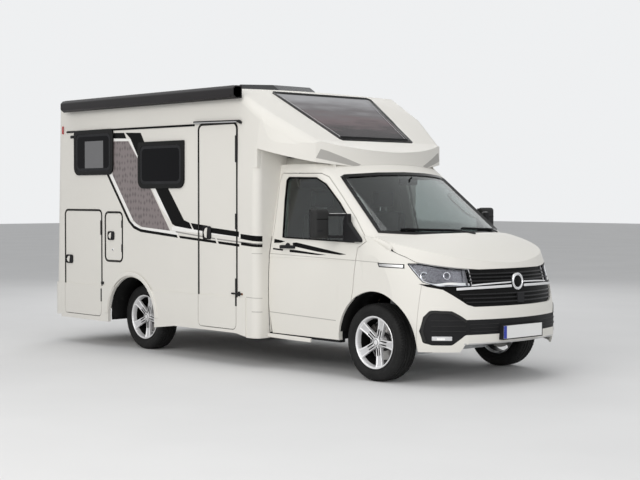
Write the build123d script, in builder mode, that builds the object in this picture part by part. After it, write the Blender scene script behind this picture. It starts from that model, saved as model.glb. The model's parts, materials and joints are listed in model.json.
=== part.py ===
from build123d import *
import os
from functools import cache
from math import cos, sin, radians

os.makedirs("parts", exist_ok=True)

# Camper van: a low-profile living body on a transporter cab and a low flat chassis.
# X points forward, Y to the left and Z up. The ground is z = 0 and x = 0 is mid-length.
# Heights are above the ground. Lengths "from the axle" are forward of the front axle.

# ---------------------------------------------------------------- driving sizes, mm
overall_length = 5880.0
front_overhang = 908.0
wheelbase = 3400.0
track = 1628.0
cab_width = 1904.0
coach_width = 2200.0
coach_wall = 32.0
coach_roof_z = 2636.0
panel_gap = 6.0            # shut line round a panel that opens

axle_x = overall_length / 2 - front_overhang
rear_axle_x = axle_x - wheelbase
rear_x = -overall_length / 2
wheel_y = track / 2
cab_half = cab_width / 2
coach_half = coach_width / 2

# wheels
tyre_radius = 338.0
tyre_width = 215.0
rim_radius = 216.0
rim_width = 178.0
rim_depth = 62.0           # how far the spokes' faces lie inside the tyre's outer wall
tyre_fit = 0.5             # room between the tyre's bead and the rim
wheel_z = tyre_radius
hub_radius = 70.0
bore_radius = 33.0
stub_clearance = 0.05      # running fit of the hub on its stub
spoke_count = 5
spoke_width = 74.0
spoke_rib = 13.0
web_depth = 7.0

# living body, lengths from the front axle
coach_front = -1420.0      # where its side wall turns in to the cab
cap_seam = -1500.0         # joint between the side walls and the over-cab moulding
brow = -1700.0             # where the roof starts to slope down to the cab
coach_back = -4888.0       # its rear face at the corners, at skirt height
rear_seam = -4690.0        # where the side wall meets the rear moulding
skirt_top_z = 649.0
skirt_foot_z = 285.0
floor_z = 560.0
floor_thickness = 44.0

# cab, lengths from the front axle
cab_back = -1400.0
cab_wall = 46.0
wing_skin = 12.0
belt_z = 1052.0


# ---------------------------------------------------------------- helpers
def side_block(points, y_from, y_to, radius=0.0):
    """A block whose outline is drawn from the side, as (length from the axle, height)."""
    with BuildPart(mode=Mode.PRIVATE) as block:
        with BuildSketch(Plane.XZ.offset(-y_to)) as face:
            with BuildLine():
                Polyline([(axle_x + x, z) for x, z in points], close=True)
            make_face()
            if radius:
                fillet(face.vertices(), radius)
        extrude(amount=y_to - y_from)
    return block.part


def front_block(points, x_from, x_to, radius=0.0):
    """A block whose outline is drawn from the front, as (y, height)."""
    with BuildPart(mode=Mode.PRIVATE) as block:
        with BuildSketch(Plane.YZ.offset(axle_x + x_from)) as face:
            with BuildLine():
                Polyline(points, close=True)
            make_face()
            if radius:
                fillet(face.vertices(), radius)
        extrude(amount=x_to - x_from)
    return block.part


def plan_block(points, z_from, z_to, radius=0.0):
    """A block whose outline is drawn from above, as (length from the axle, y)."""
    with BuildPart(mode=Mode.PRIVATE) as block:
        with BuildSketch(Plane.XY.offset(z_from)) as face:
            with BuildLine():
                Polyline([(axle_x + x, y) for x, y in points], close=True)
            make_face()
            if radius:
                fillet(face.vertices(), radius)
        extrude(amount=z_to - z_from)
    return block.part


def cuboid(x, y, z):
    """A box between three pairs of limits, lengths from the axle."""
    with BuildPart(mode=Mode.PRIVATE) as block:
        with Locations(((x[0] + x[1]) / 2 + axle_x, (y[0] + y[1]) / 2, (z[0] + z[1]) / 2)):
            Box(x[1] - x[0], y[1] - y[0], z[1] - z[0])
    return block.part


def window_block(x, z, radius, y_from, y_to):
    """A block with round corners for a window, door or flap seen from the side."""
    with BuildPart(mode=Mode.PRIVATE) as block:
        with BuildSketch(Plane.XZ.offset(-y_to)):
            with Locations((axle_x + (x[0] + x[1]) / 2, (z[0] + z[1]) / 2)):
                RectangleRounded(x[1] - x[0], z[1] - z[0], radius)
        extrude(amount=y_to - y_from)
    return block.part


def save(part, name):
    part.label = name
    export_step(part, "parts/" + name + ".step")


SIDES = (("left", 1), ("right", -1))


# ---------------------------------------------------------------- body forms
# Each level of the nose and wings, seen from above:
# height, half width, where the side starts to curve, point of that curve (x, y),
# its end (x, y), and the foremost point
NOSE_LEVELS = (
    (250.0, 928.0, -120.0, 450.0, 856.0, 740.0, 570.0, 852.0),
    (560.0, 950.0, -60.0, 520.0, 856.0, 784.0, 560.0, 894.0),
    (850.0, 952.0, -80.0, 470.0, 850.0, 722.0, 560.0, 850.0),
    (1080.0, 938.0, -160.0, 380.0, 846.0, 640.0, 575.0, 770.0),
    (1300.0, 866.0, -300.0, 250.0, 790.0, 520.0, 560.0, 700.0),
)
# The glazed upper cab at two levels:
# height, half width, start of the pillar's curve x, point of it (x, y), its end (x, y), foremost
GLASS_LEVELS = (
    (1040.0, 946.0, 60.0, 172.0, 915.0, 236.0, 852.0, 504.0),
    (1930.0, 786.0, -1010.0, -892.0, 742.0, -843.0, 671.0, -652.0),
)
# bonnet crown: length from the axle, height in the middle, height at the edge
BONNET_CROWN = (
    (-420.0, 1345.0, 1300.0),
    (200.0, 1296.0, 1188.0),
    (560.0, 1166.0, 1062.0),
    (960.0, 900.0, 860.0),
)


def level_face(row, inset, sloped):
    """One level of the cab seen from above, drawn inset from its outer skin."""
    z, half, bend, mid_x, mid_y, end_x, end_y, front = row
    back = axle_x + cab_back
    push = inset * sloped
    with BuildSketch(Plane.XY.offset(z), mode=Mode.PRIVATE) as face:
        with BuildLine():
            side = Line((back, half - inset), (axle_x + bend, half - inset))
            corner = ThreePointArc(
                side @ 1,
                (axle_x + mid_x - inset * 0.7 * sloped, mid_y - inset * 0.7),
                (axle_x + end_x - push, end_y - inset * 0.5),
            )
            nose = ThreePointArc(
                corner @ 1,
                (axle_x + front - push, 0),
                (axle_x + end_x - push, -end_y + inset * 0.5),
            )
            far_corner = ThreePointArc(
                nose @ 1,
                (axle_x + mid_x - inset * 0.7 * sloped, -mid_y + inset * 0.7),
                (axle_x + bend, -half + inset),
            )
            far_side = Line(far_corner @ 1, (back, -half + inset))
            Line(far_side @ 1, (back, half - inset))
        make_face()
    return face.sketch


@cache
def nose_form(inset):
    """The solid inside the wings, bumper and bonnet, set in from their skin."""
    with BuildPart(mode=Mode.PRIVATE) as form:
        loft([level_face(row, inset, 1.0) for row in NOSE_LEVELS])
    half = cab_half - inset
    with BuildPart(mode=Mode.PRIVATE) as crown:
        for x, mid_z, edge_z in BONNET_CROWN:
            with BuildSketch(Plane.YZ.offset(axle_x + x)):
                with BuildLine():
                    top = ThreePointArc(
                        (-half, edge_z - inset), (0, mid_z - inset), (half, edge_z - inset)
                    )
                    down = Line(top @ 1, (half, 200.0))
                    foot = Line(down @ 1, (-half, 200.0))
                    Line(foot @ 1, top @ 0)
                make_face()
        loft()
    with BuildPart(mode=Mode.PRIVATE) as nose:
        add(form.part)
        add(crown.part, mode=Mode.INTERSECT)
    return nose.part


@cache
def rear_cab_form(inset):
    """The solid inside the doors below the belt, behind the wings."""
    with BuildPart(mode=Mode.PRIVATE) as form:
        loft([level_face(row, inset, 1.0) for row in NOSE_LEVELS[:4]])
        add(cuboid((-420.0, 2000.0), (-1200.0, 1200.0), (0.0, 2000.0)), mode=Mode.SUBTRACT)
    return form.part


@cache
def glass_form(inset):
    """The solid inside the windscreen, pillars and roof."""
    with BuildPart(mode=Mode.PRIVATE) as form:
        loft([level_face(row, inset, 1.5) for row in GLASS_LEVELS], ruled=True)
        add(cuboid((-3000.0, 2000.0), (-1200.0, 1200.0), (1900.0 - inset, 2500.0)), mode=Mode.SUBTRACT)
    return form.part


@cache
def cab_form(inset):
    with BuildPart(mode=Mode.PRIVATE) as form:
        add(nose_form(inset))
        add(rear_cab_form(inset))
        add(glass_form(inset))
    return form.part


coach_lean = 83.0          # how far the rear wall leans forward over its height
rear_corner = 150.0
rear_bulge = 50.0          # the middle of the rear wall behind its corners
coach_levels = (200.0, 2700.0)


def coach_face(z, lean, inset):
    """The living body and its over-cab nose seen from above."""
    half = coach_half - inset
    back = axle_x + coach_back + lean + inset
    with BuildSketch(Plane.XY.offset(z), mode=Mode.PRIVATE) as face:
        with BuildLine():
            rear = ThreePointArc(
                (back, half - rear_corner), (back - rear_bulge, 0), (back, -half + rear_corner)
            )
            near = ThreePointArc(
                rear @ 1,
                (back + rear_corner * 0.29, -half + rear_corner * 0.29),
                (back + rear_corner, -half),
            )
            near_side = Line(near @ 1, (axle_x + coach_front, -half))
            near_front = ThreePointArc(
                near_side @ 1,
                (axle_x - 1080.0 - inset, -1005.0 + inset),
                (axle_x - 830.0 - inset, -835.0 + inset * 0.6),
            )
            nose = ThreePointArc(
                near_front @ 1, (axle_x - 612.0 - inset * 1.2, 0), (axle_x - 830.0 - inset, 835.0 - inset * 0.6)
            )
            far_front = ThreePointArc(
                nose @ 1,
                (axle_x - 1080.0 - inset, 1005.0 - inset),
                (axle_x + coach_front, half),
            )
            far_side = Line(far_front @ 1, (back + rear_corner, half))
            ThreePointArc(
                far_side @ 1, (back + rear_corner * 0.29, half - rear_corner * 0.29), rear @ 0
            )
        make_face()
    return face.sketch


slope_bend = (-850.0, 2120.0)     # where the slope over the cab flattens, under its window
slope_tip = (-620.0, 2020.0)      # foremost edge of the over-cab moulding
soffit_front_z = 1862.0
soffit_rear = (-1352.0, 2045.0)
# Sections of the body's upper part: length from the axle, height of the crown in the middle and
# at its edge, half width of the crown, then half width and height of the wall's top
COACH_SECTIONS = (
    (-5200.0, 2636.0, 2620.0, 1026.0, 1096.0, 2550.0),
    (brow, 2636.0, 2620.0, 1026.0, 1096.0, 2550.0),
    (-1300.0, 2423.0, 2395.0, 950.0, 1085.0, 2295.0),
    (-850.0, 2150.0, 2122.0, 750.0, 890.0, 2002.0),
    (-500.0, 1995.0, 1967.0, 740.0, 860.0, 1850.0),
)


def side_outline(inset):
    """The living body from the side, with the slope and the soffit set in by the wall."""
    top = coach_roof_z - inset + 60.0
    bend_x, bend_z = slope_bend
    tip_x, tip_z = slope_tip
    soffit_x, soffit_z = soffit_rear
    return [
        (-5200.0, 160.0),
        (-5200.0, top),
        (brow - 99.0 - 0.28 * inset, top),
        (bend_x - 0.46 * inset, bend_z - 0.89 * inset),
        (tip_x - inset, tip_z - 0.66 * inset),
        (tip_x + 30.0 - inset, tip_z - 30.0 - 0.66 * inset),
        (tip_x - inset, soffit_front_z + inset),
        (soffit_x, soffit_z + inset),
        (soffit_x, 160.0),
    ]


@cache
def coach_form(inset):
    """The solid inside the walls, roof and over-cab moulding."""
    low, high = coach_levels
    half = coach_half - inset
    with BuildPart(mode=Mode.PRIVATE) as section:
        for x, *sizes in COACH_SECTIONS:
            crown_z, edge_z, crown_half, wall_half, wall_z = [size - inset for size in sizes]
            turn_y = crown_half + 0.72 * (wall_half - crown_half)
            turn_z = edge_z - 0.28 * (edge_z - wall_z)
            with BuildSketch(Plane.YZ.offset(axle_x + x)):
                with BuildLine():
                    crown = ThreePointArc((-crown_half, edge_z), (0, crown_z), (crown_half, edge_z))
                    left = ThreePointArc(crown @ 1, (turn_y, turn_z), (wall_half, wall_z))
                    left_side = Line(left @ 1, (half, 1700.0))
                    left_foot = Line(left_side @ 1, (half, 100.0))
                    foot = Line(left_foot @ 1, (-half, 100.0))
                    right_foot = Line(foot @ 1, (-half, 1700.0))
                    right_side = Line(right_foot @ 1, (-wall_half, wall_z))
                    ThreePointArc(right_side @ 1, (-turn_y, turn_z), crown @ 0)
                make_face()
        loft(ruled=True)
    with BuildPart(mode=Mode.PRIVATE) as form:
        loft([coach_face(low, 0.0, inset), coach_face(high, coach_lean, inset)], ruled=True)
        add(side_block(side_outline(inset), -1200.0, 1200.0), mode=Mode.INTERSECT)
        add(section.part, mode=Mode.INTERSECT)
    return form.part


# ---------------------------------------------------------------- cab outlines
# Seen from the side, as (length from the axle, height)
DOOR = [
    (-1310.0, 330.0), (-1346.0, 600.0), (-1346.0, 1060.0), (-1325.0, 1300.0), (-1335.0, 1745.0),
    (-1308.0, 1816.0), (-796.0, 1810.0), (-715.0, 1776.0), (-507.0, 1602.0), (-285.0, 1408.0),
    (-86.0, 1212.0),
    (-190.0, 1150.0), (-198.0, 1046.0), (-225.0, 780.0), (-330.0, 330.0),
]
DOOR_WINDOW = [
    (-1180.0, 1222.0), (-1220.0, 1560.0), (-1232.0, 1752.0), (-1206.0, 1780.0), (-835.0, 1774.0),
    (-705.0, 1716.0), (-490.0, 1545.0), (-300.0, 1365.0), (-212.0, 1256.0), (-240.0, 1200.0),
]
SHUT_LINE = [(-60.0, 1250.0), (160.0, 1150.0), (340.0, 1083.0), (425.0, 1040.0), (745.0, 978.0),
             (1000.0, 985.0)]
LAMP = [(356.0, 1034.0), (425.0, 1034.0), (748.0, 973.0), (800.0, 846.0), (600.0, 842.0), (492.0, 880.0)]
arch_radius = 440.0
arch_x = 30.0
arch_z = 345.0
lamp_inner_y = 500.0
bumper_top_z = 862.0
# Seen from the front, as (y, height)
WINDSCREEN = [(-800.0, 1284.0), (-400.0, 1260.0), (0.0, 1252.0), (400.0, 1260.0), (800.0, 1284.0),
              (690.0, 1782.0), (640.0, 1804.0), (320.0, 1824.0), (0.0, 1830.0), (-320.0, 1824.0),
              (-640.0, 1804.0), (-690.0, 1782.0)]
GRILLE = [(-500.0, 980.0), (500.0, 980.0), (520.0, 862.0), (745.0, 838.0), (560.0, 690.0),
          (500.0, 672.0), (-500.0, 672.0), (-560.0, 690.0), (-745.0, 838.0), (-520.0, 862.0)]
LOWER_TRIM = [(-872.0, 470.0), (-852.0, 590.0), (-815.0, 646.0), (-680.0, 640.0), (-585.0, 566.0),
              (585.0, 566.0), (680.0, 640.0), (815.0, 646.0), (852.0, 590.0), (872.0, 470.0),
              (850.0, 372.0), (800.0, 352.0), (680.0, 352.0), (590.0, 438.0), (-590.0, 438.0),
              (-680.0, 352.0), (-800.0, 352.0), (-850.0, 372.0)]
BUMPER_LIFT = [(-650.0, 200.0), (-590.0, 356.0), (590.0, 356.0), (650.0, 200.0)]
trim_round = 24.0
# A holder for the number plate: half its width, its height and the depth of its recess
plate_half = 267.0
plate_height = 126.0
plate_rim = 6.0
plate_recess = 3.5
plate_reach = 14.0         # how far the holder stands out from the bumper behind it
bonnet_back = 268.0        # middle of the bonnet's rear edge
bonnet_corner = (-20.0, 885.0)


def grown(points, by):
    """The outline moved out by a gap, or in where the gap is negative."""
    with BuildSketch(mode=Mode.PRIVATE) as face:
        with BuildLine():
            Polyline(points, close=True)
        make_face()
        offset(amount=by, kind=Kind.INTERSECTION)
    edges = face.sketch.faces()[0].outer_wire().order_edges()
    return [((e @ 0).X, (e @ 0).Y) for e in edges]


outer_cab = cab_form(0.0)
inner_cab = cab_form(cab_wall)
nose_skin_outer = nose_form(0.0)
nose_skin_inner = nose_form(wing_skin)
nose_deep = nose_form(40.0)

with BuildPart() as arch:
    for side in (1, -1):
        with BuildSketch(Plane.XZ.offset(-side * 620.0)):
            with Locations((axle_x + arch_x, arch_z)):
                Circle(arch_radius)
            with Locations((axle_x + arch_x, arch_z - arch_radius / 2)):
                Rectangle(2 * arch_radius, arch_radius)
        extrude(amount=-side * 500.0)
arch_cut = arch.part

with BuildPart() as bonnet_zone:
    with BuildSketch(Plane.XY.offset(900.0)):
        with BuildLine():
            corner_x, corner_y = bonnet_corner
            rear = ThreePointArc(
                (axle_x + corner_x, corner_y), (axle_x + bonnet_back, 0), (axle_x + corner_x, -corner_y)
            )
            Polyline(rear @ 1, (axle_x + 1000.0, -corner_y - 30), (axle_x + 1000.0, corner_y + 30), rear @ 0)
        make_face()
    extrude(amount=600.0)


def plate_holder(face_x, facing, middle_z):
    """A flat holder with a shallow recess, its face at face_x looking forward or back."""
    low_z = middle_z - plate_height / 2
    high_z = middle_z + plate_height / 2
    depth_x = sorted((face_x, face_x - facing * 46.0))
    recess_x = sorted((face_x - facing * plate_recess, face_x + facing))
    inner_y = plate_half - plate_rim
    with BuildPart(mode=Mode.PRIVATE) as holder:
        add(cuboid(depth_x, (-plate_half, plate_half), (low_z, high_z)))
        add(cuboid(recess_x, (-inner_y, inner_y), (low_z + plate_rim, high_z - plate_rim)),
            mode=Mode.SUBTRACT)
    return holder.part


# ---------------------------------------------------------------- cab: bonnet, wings, bumper
with BuildPart() as bonnet:
    add(nose_skin_outer)
    add(nose_skin_inner, mode=Mode.SUBTRACT)
    add(bonnet_zone.part, mode=Mode.INTERSECT)
    add(side_block([(x, z + panel_gap) for x, z in SHUT_LINE] + [(1000.0, 1500.0), (-60.0, 1500.0)],
                   -960.0, 960.0), mode=Mode.INTERSECT)
save(bonnet.part, "bonnet")

under_shut = SHUT_LINE + [(1000.0, 200.0), (-400.0, 200.0)]
wing_zone = [(-400.0, 1300.0), (-400.0, 240.0), (468.0, 240.0), (490.0, 880.0), (430.0, 1034.0),
             (430.0, 1300.0)]
lamp_wide = [side_block(LAMP, y0, y1) for y0, y1 in ((-960.0, -lamp_inner_y), (lamp_inner_y, 960.0))]
shell_foot_z = 1228.0      # the pillars stand on the wings at this height
with BuildPart() as pillar_room:
    add(glass_form(-2.0))
    add(cuboid((-1400.0, 300.0), (-1000.0, 1000.0), (shell_foot_z - 2.0, 2000.0)), mode=Mode.INTERSECT)
with BuildPart() as fenders:
    add(nose_skin_outer)
    add(nose_skin_inner, mode=Mode.SUBTRACT)
    add(side_block(wing_zone, -960.0, 960.0), mode=Mode.INTERSECT)
    add(side_block(under_shut + [(-400.0, 1300.0)], -960.0, 960.0), mode=Mode.INTERSECT)
    add(cuboid((-400.0, 800.0), (-700.0, 700.0), (0.0, 1500.0)), mode=Mode.SUBTRACT)
    add(arch_cut, mode=Mode.SUBTRACT)
    add(lamp_wide, mode=Mode.SUBTRACT)
    add(side_block(grown(DOOR, panel_gap), -1000.0, 1000.0), mode=Mode.SUBTRACT)
    add(pillar_room.part, mode=Mode.SUBTRACT)
save(fenders.part, "fenders")

bumper_zone = [(493.0, 880.0), (472.8, 292.0), (1000.0, 292.0), (1000.0, bumper_top_z),
               (600.0, bumper_top_z)]
with BuildPart() as front_bumper:
    add(nose_skin_outer)
    add(nose_form(18.0), mode=Mode.SUBTRACT)
    add(side_block(bumper_zone, -960.0, 960.0), mode=Mode.INTERSECT)
    add(arch_cut, mode=Mode.SUBTRACT)
    add(lamp_wide, mode=Mode.SUBTRACT)
    add(front_block(GRILLE, 300.0, 1000.0), mode=Mode.SUBTRACT)
    add(front_block(LOWER_TRIM, 300.0, 1000.0, trim_round), mode=Mode.SUBTRACT)
    add(front_block(BUMPER_LIFT, 300.0, 1000.0), mode=Mode.SUBTRACT)
save(front_bumper.part, "front_bumper")

with BuildPart() as bumper_trim:
    add(nose_form(5.0))
    add(nose_form(24.0), mode=Mode.SUBTRACT)
    add(front_block(LOWER_TRIM, 300.0, 1000.0, trim_round), mode=Mode.INTERSECT)
    add(side_block(bumper_zone, -960.0, 960.0), mode=Mode.INTERSECT)
    add(plate_holder(front_overhang, 1, 449.0))
    add(front_bumper.part, mode=Mode.SUBTRACT)
save(bumper_trim.part, "bumper_trim")

with BuildPart() as grille:
    add(nose_form(16.0))
    add(nose_deep, mode=Mode.SUBTRACT)
    add(front_block(GRILLE, 300.0, 1000.0), mode=Mode.INTERSECT)
    add(lamp_wide, mode=Mode.SUBTRACT)
    add(cuboid((0.0, 420.0), (-1000.0, 1000.0), (600.0, 1000.0)), mode=Mode.SUBTRACT)
save(grille.part, "grille")

with BuildPart() as headlamps:
    add(nose_form(3.0))
    add(nose_form(60.0), mode=Mode.SUBTRACT)
    add(lamp_wide, mode=Mode.INTERSECT)
save(headlamps.part, "headlamps")

# ---------------------------------------------------------------- cab: shell, doors, glass
windscreen_cut = front_block(WINDSCREEN, -800.0, 600.0)
with BuildPart() as cab_shell:
    add(glass_form(0.0))
    add(glass_form(cab_wall), mode=Mode.SUBTRACT)
    add(cuboid((-1400.0, 300.0), (-1000.0, 1000.0), (shell_foot_z, 2000.0)), mode=Mode.INTERSECT)
    add(windscreen_cut, mode=Mode.SUBTRACT)
    add(cuboid((-1400.0, -800.0), (-700.0, 700.0), (1800.0, 2000.0)), mode=Mode.SUBTRACT)
    add(side_block(grown(DOOR, panel_gap), -1000.0, -500.0), mode=Mode.SUBTRACT)
    add(side_block(grown(DOOR, panel_gap), 500.0, 1000.0), mode=Mode.SUBTRACT)
save(cab_shell.part, "cab_shell")

# lower cab structure: door posts, sills and the bulkhead behind the engine
with BuildPart() as cab_lower:
    add(nose_form(wing_skin + 2.0))
    add(nose_form(cab_wall), mode=Mode.SUBTRACT)
    add(side_block([(-176.0, 300.0), (-60.0, 300.0), (-60.0, 1180.0), (-120.0, 1160.0), (-176.0, 1130.0)],
                   -960.0, 960.0), mode=Mode.INTERSECT)
    add(arch_cut, mode=Mode.SUBTRACT)
save(cab_lower.part, "cab_posts")

# Seen from the front: what lies outboard of the pillars' inner faces, as (y, height)
DOOR_DEPTH = ((1000.0, 200.0), (1000.0, 2000.0), (706.0, 2000.0), (868.0, 1040.0), (868.0, 200.0))
for name, side in SIDES:
    y_in, y_out = sorted((side * 500.0, side * 1000.0))
    with BuildPart() as cab_door:
        add(outer_cab)
        add(inner_cab, mode=Mode.SUBTRACT)
        add(side_block(DOOR, y_in, y_out), mode=Mode.INTERSECT)
        add(front_block([(side * y, z) for y, z in DOOR_DEPTH], -1500.0, 200.0), mode=Mode.INTERSECT)
        add(side_block(DOOR_WINDOW, y_in, y_out), mode=Mode.SUBTRACT)
        add(arch_cut, mode=Mode.SUBTRACT)
    save(cab_door.part, "cab_door_" + name)


# ---------------------------------------------------------------- living body
coach_outer = coach_form(0.0)
coach_inner = coach_form(coach_wall)
hab_door_x = (-2225.0, -1634.0)
hab_door_z = (340.0, 2296.0)
hab_door_round = 60.0
rear_window_x = (-4410.0, -3690.0)
rear_window_z = (1840.0, 2300.0)
front_window_x = (-3212.0, -2458.0)
front_window_z = (1693.0, 2143.0)
window_round = 70.0
garage_x = (-4622.0, -3903.0)
garage_z = (320.0, 1455.0)
flap_x = (-3840.0, -3520.0)
flap_z = (918.0, 1435.0)
flap_round = 55.0
coach_arch_x = -3365.0
coach_arch_radius = 415.0
coach_arch_z = 350.0

with BuildPart() as coach_arch:
    with BuildSketch(Plane.XZ.offset(-1300.0)):
        with Locations((axle_x + coach_arch_x, coach_arch_z)):
            Circle(coach_arch_radius)
        with Locations((axle_x + coach_arch_x, coach_arch_z - coach_arch_radius / 2)):
            Rectangle(2 * coach_arch_radius, coach_arch_radius)
    extrude(amount=2600.0)

WALL_CUTS = {
    "right": (
        (hab_door_x, hab_door_z, hab_door_round),
        (rear_window_x, rear_window_z, window_round),
        (front_window_x, front_window_z, window_round),
        (garage_x, garage_z, flap_round),
        (flap_x, flap_z, flap_round),
    ),
    "left": (
        (rear_window_x, rear_window_z, window_round),
        (front_window_x, front_window_z, window_round),
        (garage_x, garage_z, flap_round),
    ),
}

roof_seam = brow - 60.0
eaves_z = 2560.0           # joint between wall and roof panel
cap_eaves_z = 2470.0       # the same joint beside the over-cab slope
WALL_OUTLINE = [(rear_seam, skirt_top_z), (cap_seam, skirt_top_z), (cap_seam, cap_eaves_z),
                (roof_seam, cap_eaves_z), (roof_seam, eaves_z), (rear_seam, eaves_z)]
for name, side in SIDES:
    with BuildPart() as side_wall:
        add(coach_outer)
        add(coach_inner, mode=Mode.SUBTRACT)
        add(side_block(WALL_OUTLINE, *sorted((side * 900.0, side * 1200.0))), mode=Mode.INTERSECT)
        for x, z, radius in WALL_CUTS[name]:
            add(window_block(x, z, radius, *sorted((side * 900.0, side * 1200.0))), mode=Mode.SUBTRACT)
        add(coach_arch.part, mode=Mode.SUBTRACT)
    save(side_wall.part, "side_wall_" + name)

with BuildPart() as roof_panel:
    add(coach_outer)
    add(coach_inner, mode=Mode.SUBTRACT)
    add(cuboid((rear_seam, roof_seam), (-1200.0, 1200.0), (eaves_z, 2700.0)), mode=Mode.INTERSECT)
save(roof_panel.part, "roof_panel")

# over-cab moulding, open to the cab below and to the living space behind
PANORAMA = ((-480.0, 2121.0), (480.0, 2121.0), (660.0, 2605.0), (-660.0, 2605.0))
with BuildPart() as panorama_zone:
    with BuildSketch(Plane.YZ.offset(axle_x - 2200.0)) as pane:
        with BuildLine():
            Polyline(PANORAMA, close=True)
        make_face()
        fillet(pane.vertices(), 24.0)
    extrude(amount=2000.0)
panorama_cut = panorama_zone.part

with BuildPart() as cab_cap:
    add(coach_outer)
    add(coach_inner, mode=Mode.SUBTRACT)
    add(side_block([(cap_seam, 1700.0), (cap_seam, cap_eaves_z), (roof_seam, cap_eaves_z),
                    (roof_seam, 2700.0), (-400.0, 2700.0), (-400.0, 1700.0)], -1200.0, 1200.0),
        mode=Mode.INTERSECT)
    add(cuboid((-1420.0, -300.0), (-1200.0, 1200.0), (1700.0, 1868.0)), mode=Mode.SUBTRACT)
    add(cuboid((-1400.0, -850.0), (-700.0, 700.0), (1700.0, 2100.0)), mode=Mode.SUBTRACT)
    add(panorama_cut, mode=Mode.SUBTRACT)
    add(glass_form(-1.0), mode=Mode.SUBTRACT)
save(cab_cap.part, "cab_cap")

with BuildPart() as panorama_window:
    add(coach_form(4.0))
    add(coach_form(20.0), mode=Mode.SUBTRACT)
    add(panorama_cut, mode=Mode.INTERSECT)
    add(cuboid((brow - 56.0, 0.0), (-1000.0, 1000.0), (1900.0, 2700.0)), mode=Mode.INTERSECT)
save(panorama_window.part, "panorama_window")


# ---------------------------------------------------------------- doors and flaps of the living body
skirt_proud = 10.0
leaf_gap = 7.0


def leaf(x, z, radius, side, foot_z):
    """A door as thick as the wall, with the skirt's step carried across its foot."""
    leaf_x = (x[0] + leaf_gap, x[1] - leaf_gap)
    leaf_z = (foot_z, z[1] - leaf_gap)
    wall_y = sorted((side * (coach_half - coach_wall), side * (coach_half - 1.5)))
    step_y = sorted((side * (coach_half - coach_wall), side * (coach_half + skirt_proud)))
    with BuildPart(mode=Mode.PRIVATE) as door:
        add(window_block(leaf_x, leaf_z, radius - leaf_gap, *wall_y))
        if foot_z < skirt_top_z:
            step = window_block(leaf_x, leaf_z, radius - leaf_gap, *step_y)
            add(split_below(step, skirt_top_z))
    return door.part


def split_below(shape, z):
    with BuildPart(mode=Mode.PRIVATE) as low:
        add(shape)
        split(bisect_by=Plane.XY.offset(z), keep=Keep.BOTTOM)
    return low.part


save(leaf(hab_door_x, hab_door_z, hab_door_round, -1, hab_door_z[0] + leaf_gap), "habitation_door")
save(leaf(flap_x, flap_z, flap_round, -1, flap_z[0] + leaf_gap), "service_flap")
for name, side in SIDES:
    save(leaf(garage_x, garage_z, flap_round, side, garage_z[0] + leaf_gap), "garage_door_" + name)

# windows of the living body: tinted panes standing a little proud of the wall
pane_proud = 14.0
pane_thickness = 22.0
with BuildPart() as side_windows:
    for name, side in SIDES:
        for x, z in ((rear_window_x, rear_window_z), (front_window_x, front_window_z)):
            pane_y = sorted((side * (coach_half + pane_proud), side * (coach_half + pane_proud - pane_thickness)))
            add(window_block(x, z, window_round, *pane_y))
save(side_windows.part, "side_windows")

# ---------------------------------------------------------------- skirts, rear bumper, corner fairings
skirt_thickness = 36.0
SKIRT_FOOT = ((-4690.0, 273.0), (-3780.0, 273.0), (-2950.0, 273.0), (-2800.0, 290.0), (-2610.0, 312.0),
              (-1640.0, 312.0), (-1500.0, 287.0), (-1345.0, 275.0))
skirt_outline = list(SKIRT_FOOT) + [(-1345.0, skirt_top_z), (-4690.0, skirt_top_z)]
with BuildPart() as skirts:
    for name, side in SIDES:
        skirt_y = sorted((side * (coach_half + skirt_proud), side * (coach_half + skirt_proud - skirt_thickness)))
        add(side_block([(rear_seam if x == -4690.0 else x, z) for x, z in skirt_outline], *skirt_y))
        door_cuts = [(garage_x, garage_z, flap_round)]
        if side < 0:
            door_cuts.append((hab_door_x, hab_door_z, hab_door_round))
        for x, z, radius in door_cuts:
            add(window_block(x, z, radius, *sorted((side * 900.0, side * 1200.0))), mode=Mode.SUBTRACT)
    add(coach_arch.part, mode=Mode.SUBTRACT)
    add(cuboid((cap_seam, -1300.0), (-1200.0, 1200.0), (200.0, 700.0)), mode=Mode.SUBTRACT)
save(skirts.part, "skirts")


def rear_plan(inset, z):
    half = coach_half + skirt_proud - inset
    back = axle_x + coach_back + inset
    with BuildSketch(Plane.XY.offset(z), mode=Mode.PRIVATE) as face:
        with BuildLine():
            rear = ThreePointArc(
                (back, half - rear_corner), (rear_x + plate_reach + inset, 0), (back, -half + rear_corner)
            )
            near = ThreePointArc(
                rear @ 1,
                (back + rear_corner * 0.29, -half + rear_corner * 0.29),
                (back + rear_corner, -half),
            )
            near_side = Line(near @ 1, (axle_x + rear_seam, -half))
            front = Line(near_side @ 1, (axle_x + rear_seam, half))
            far_side = Line(front @ 1, (back + rear_corner, half))
            ThreePointArc(
                far_side @ 1, (back + rear_corner * 0.29, half - rear_corner * 0.29), rear @ 0
            )
        make_face()
    return face.sketch


bumper_foot_z = 300.0
with BuildPart() as rear_bumper:
    extrude(rear_plan(0.0, bumper_foot_z), amount=skirt_top_z - bumper_foot_z)
    extrude(rear_plan(36.0, bumper_foot_z - 10.0), amount=skirt_top_z - bumper_foot_z + 20.0, mode=Mode.SUBTRACT)
    add(cuboid((rear_seam - 1.0, rear_seam + 500.0), (-1200.0, 1200.0), (0.0, 900.0)), mode=Mode.SUBTRACT)
    add(plate_holder(rear_x - axle_x, -1, 520.0))
save(rear_bumper.part, "rear_bumper")

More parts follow.
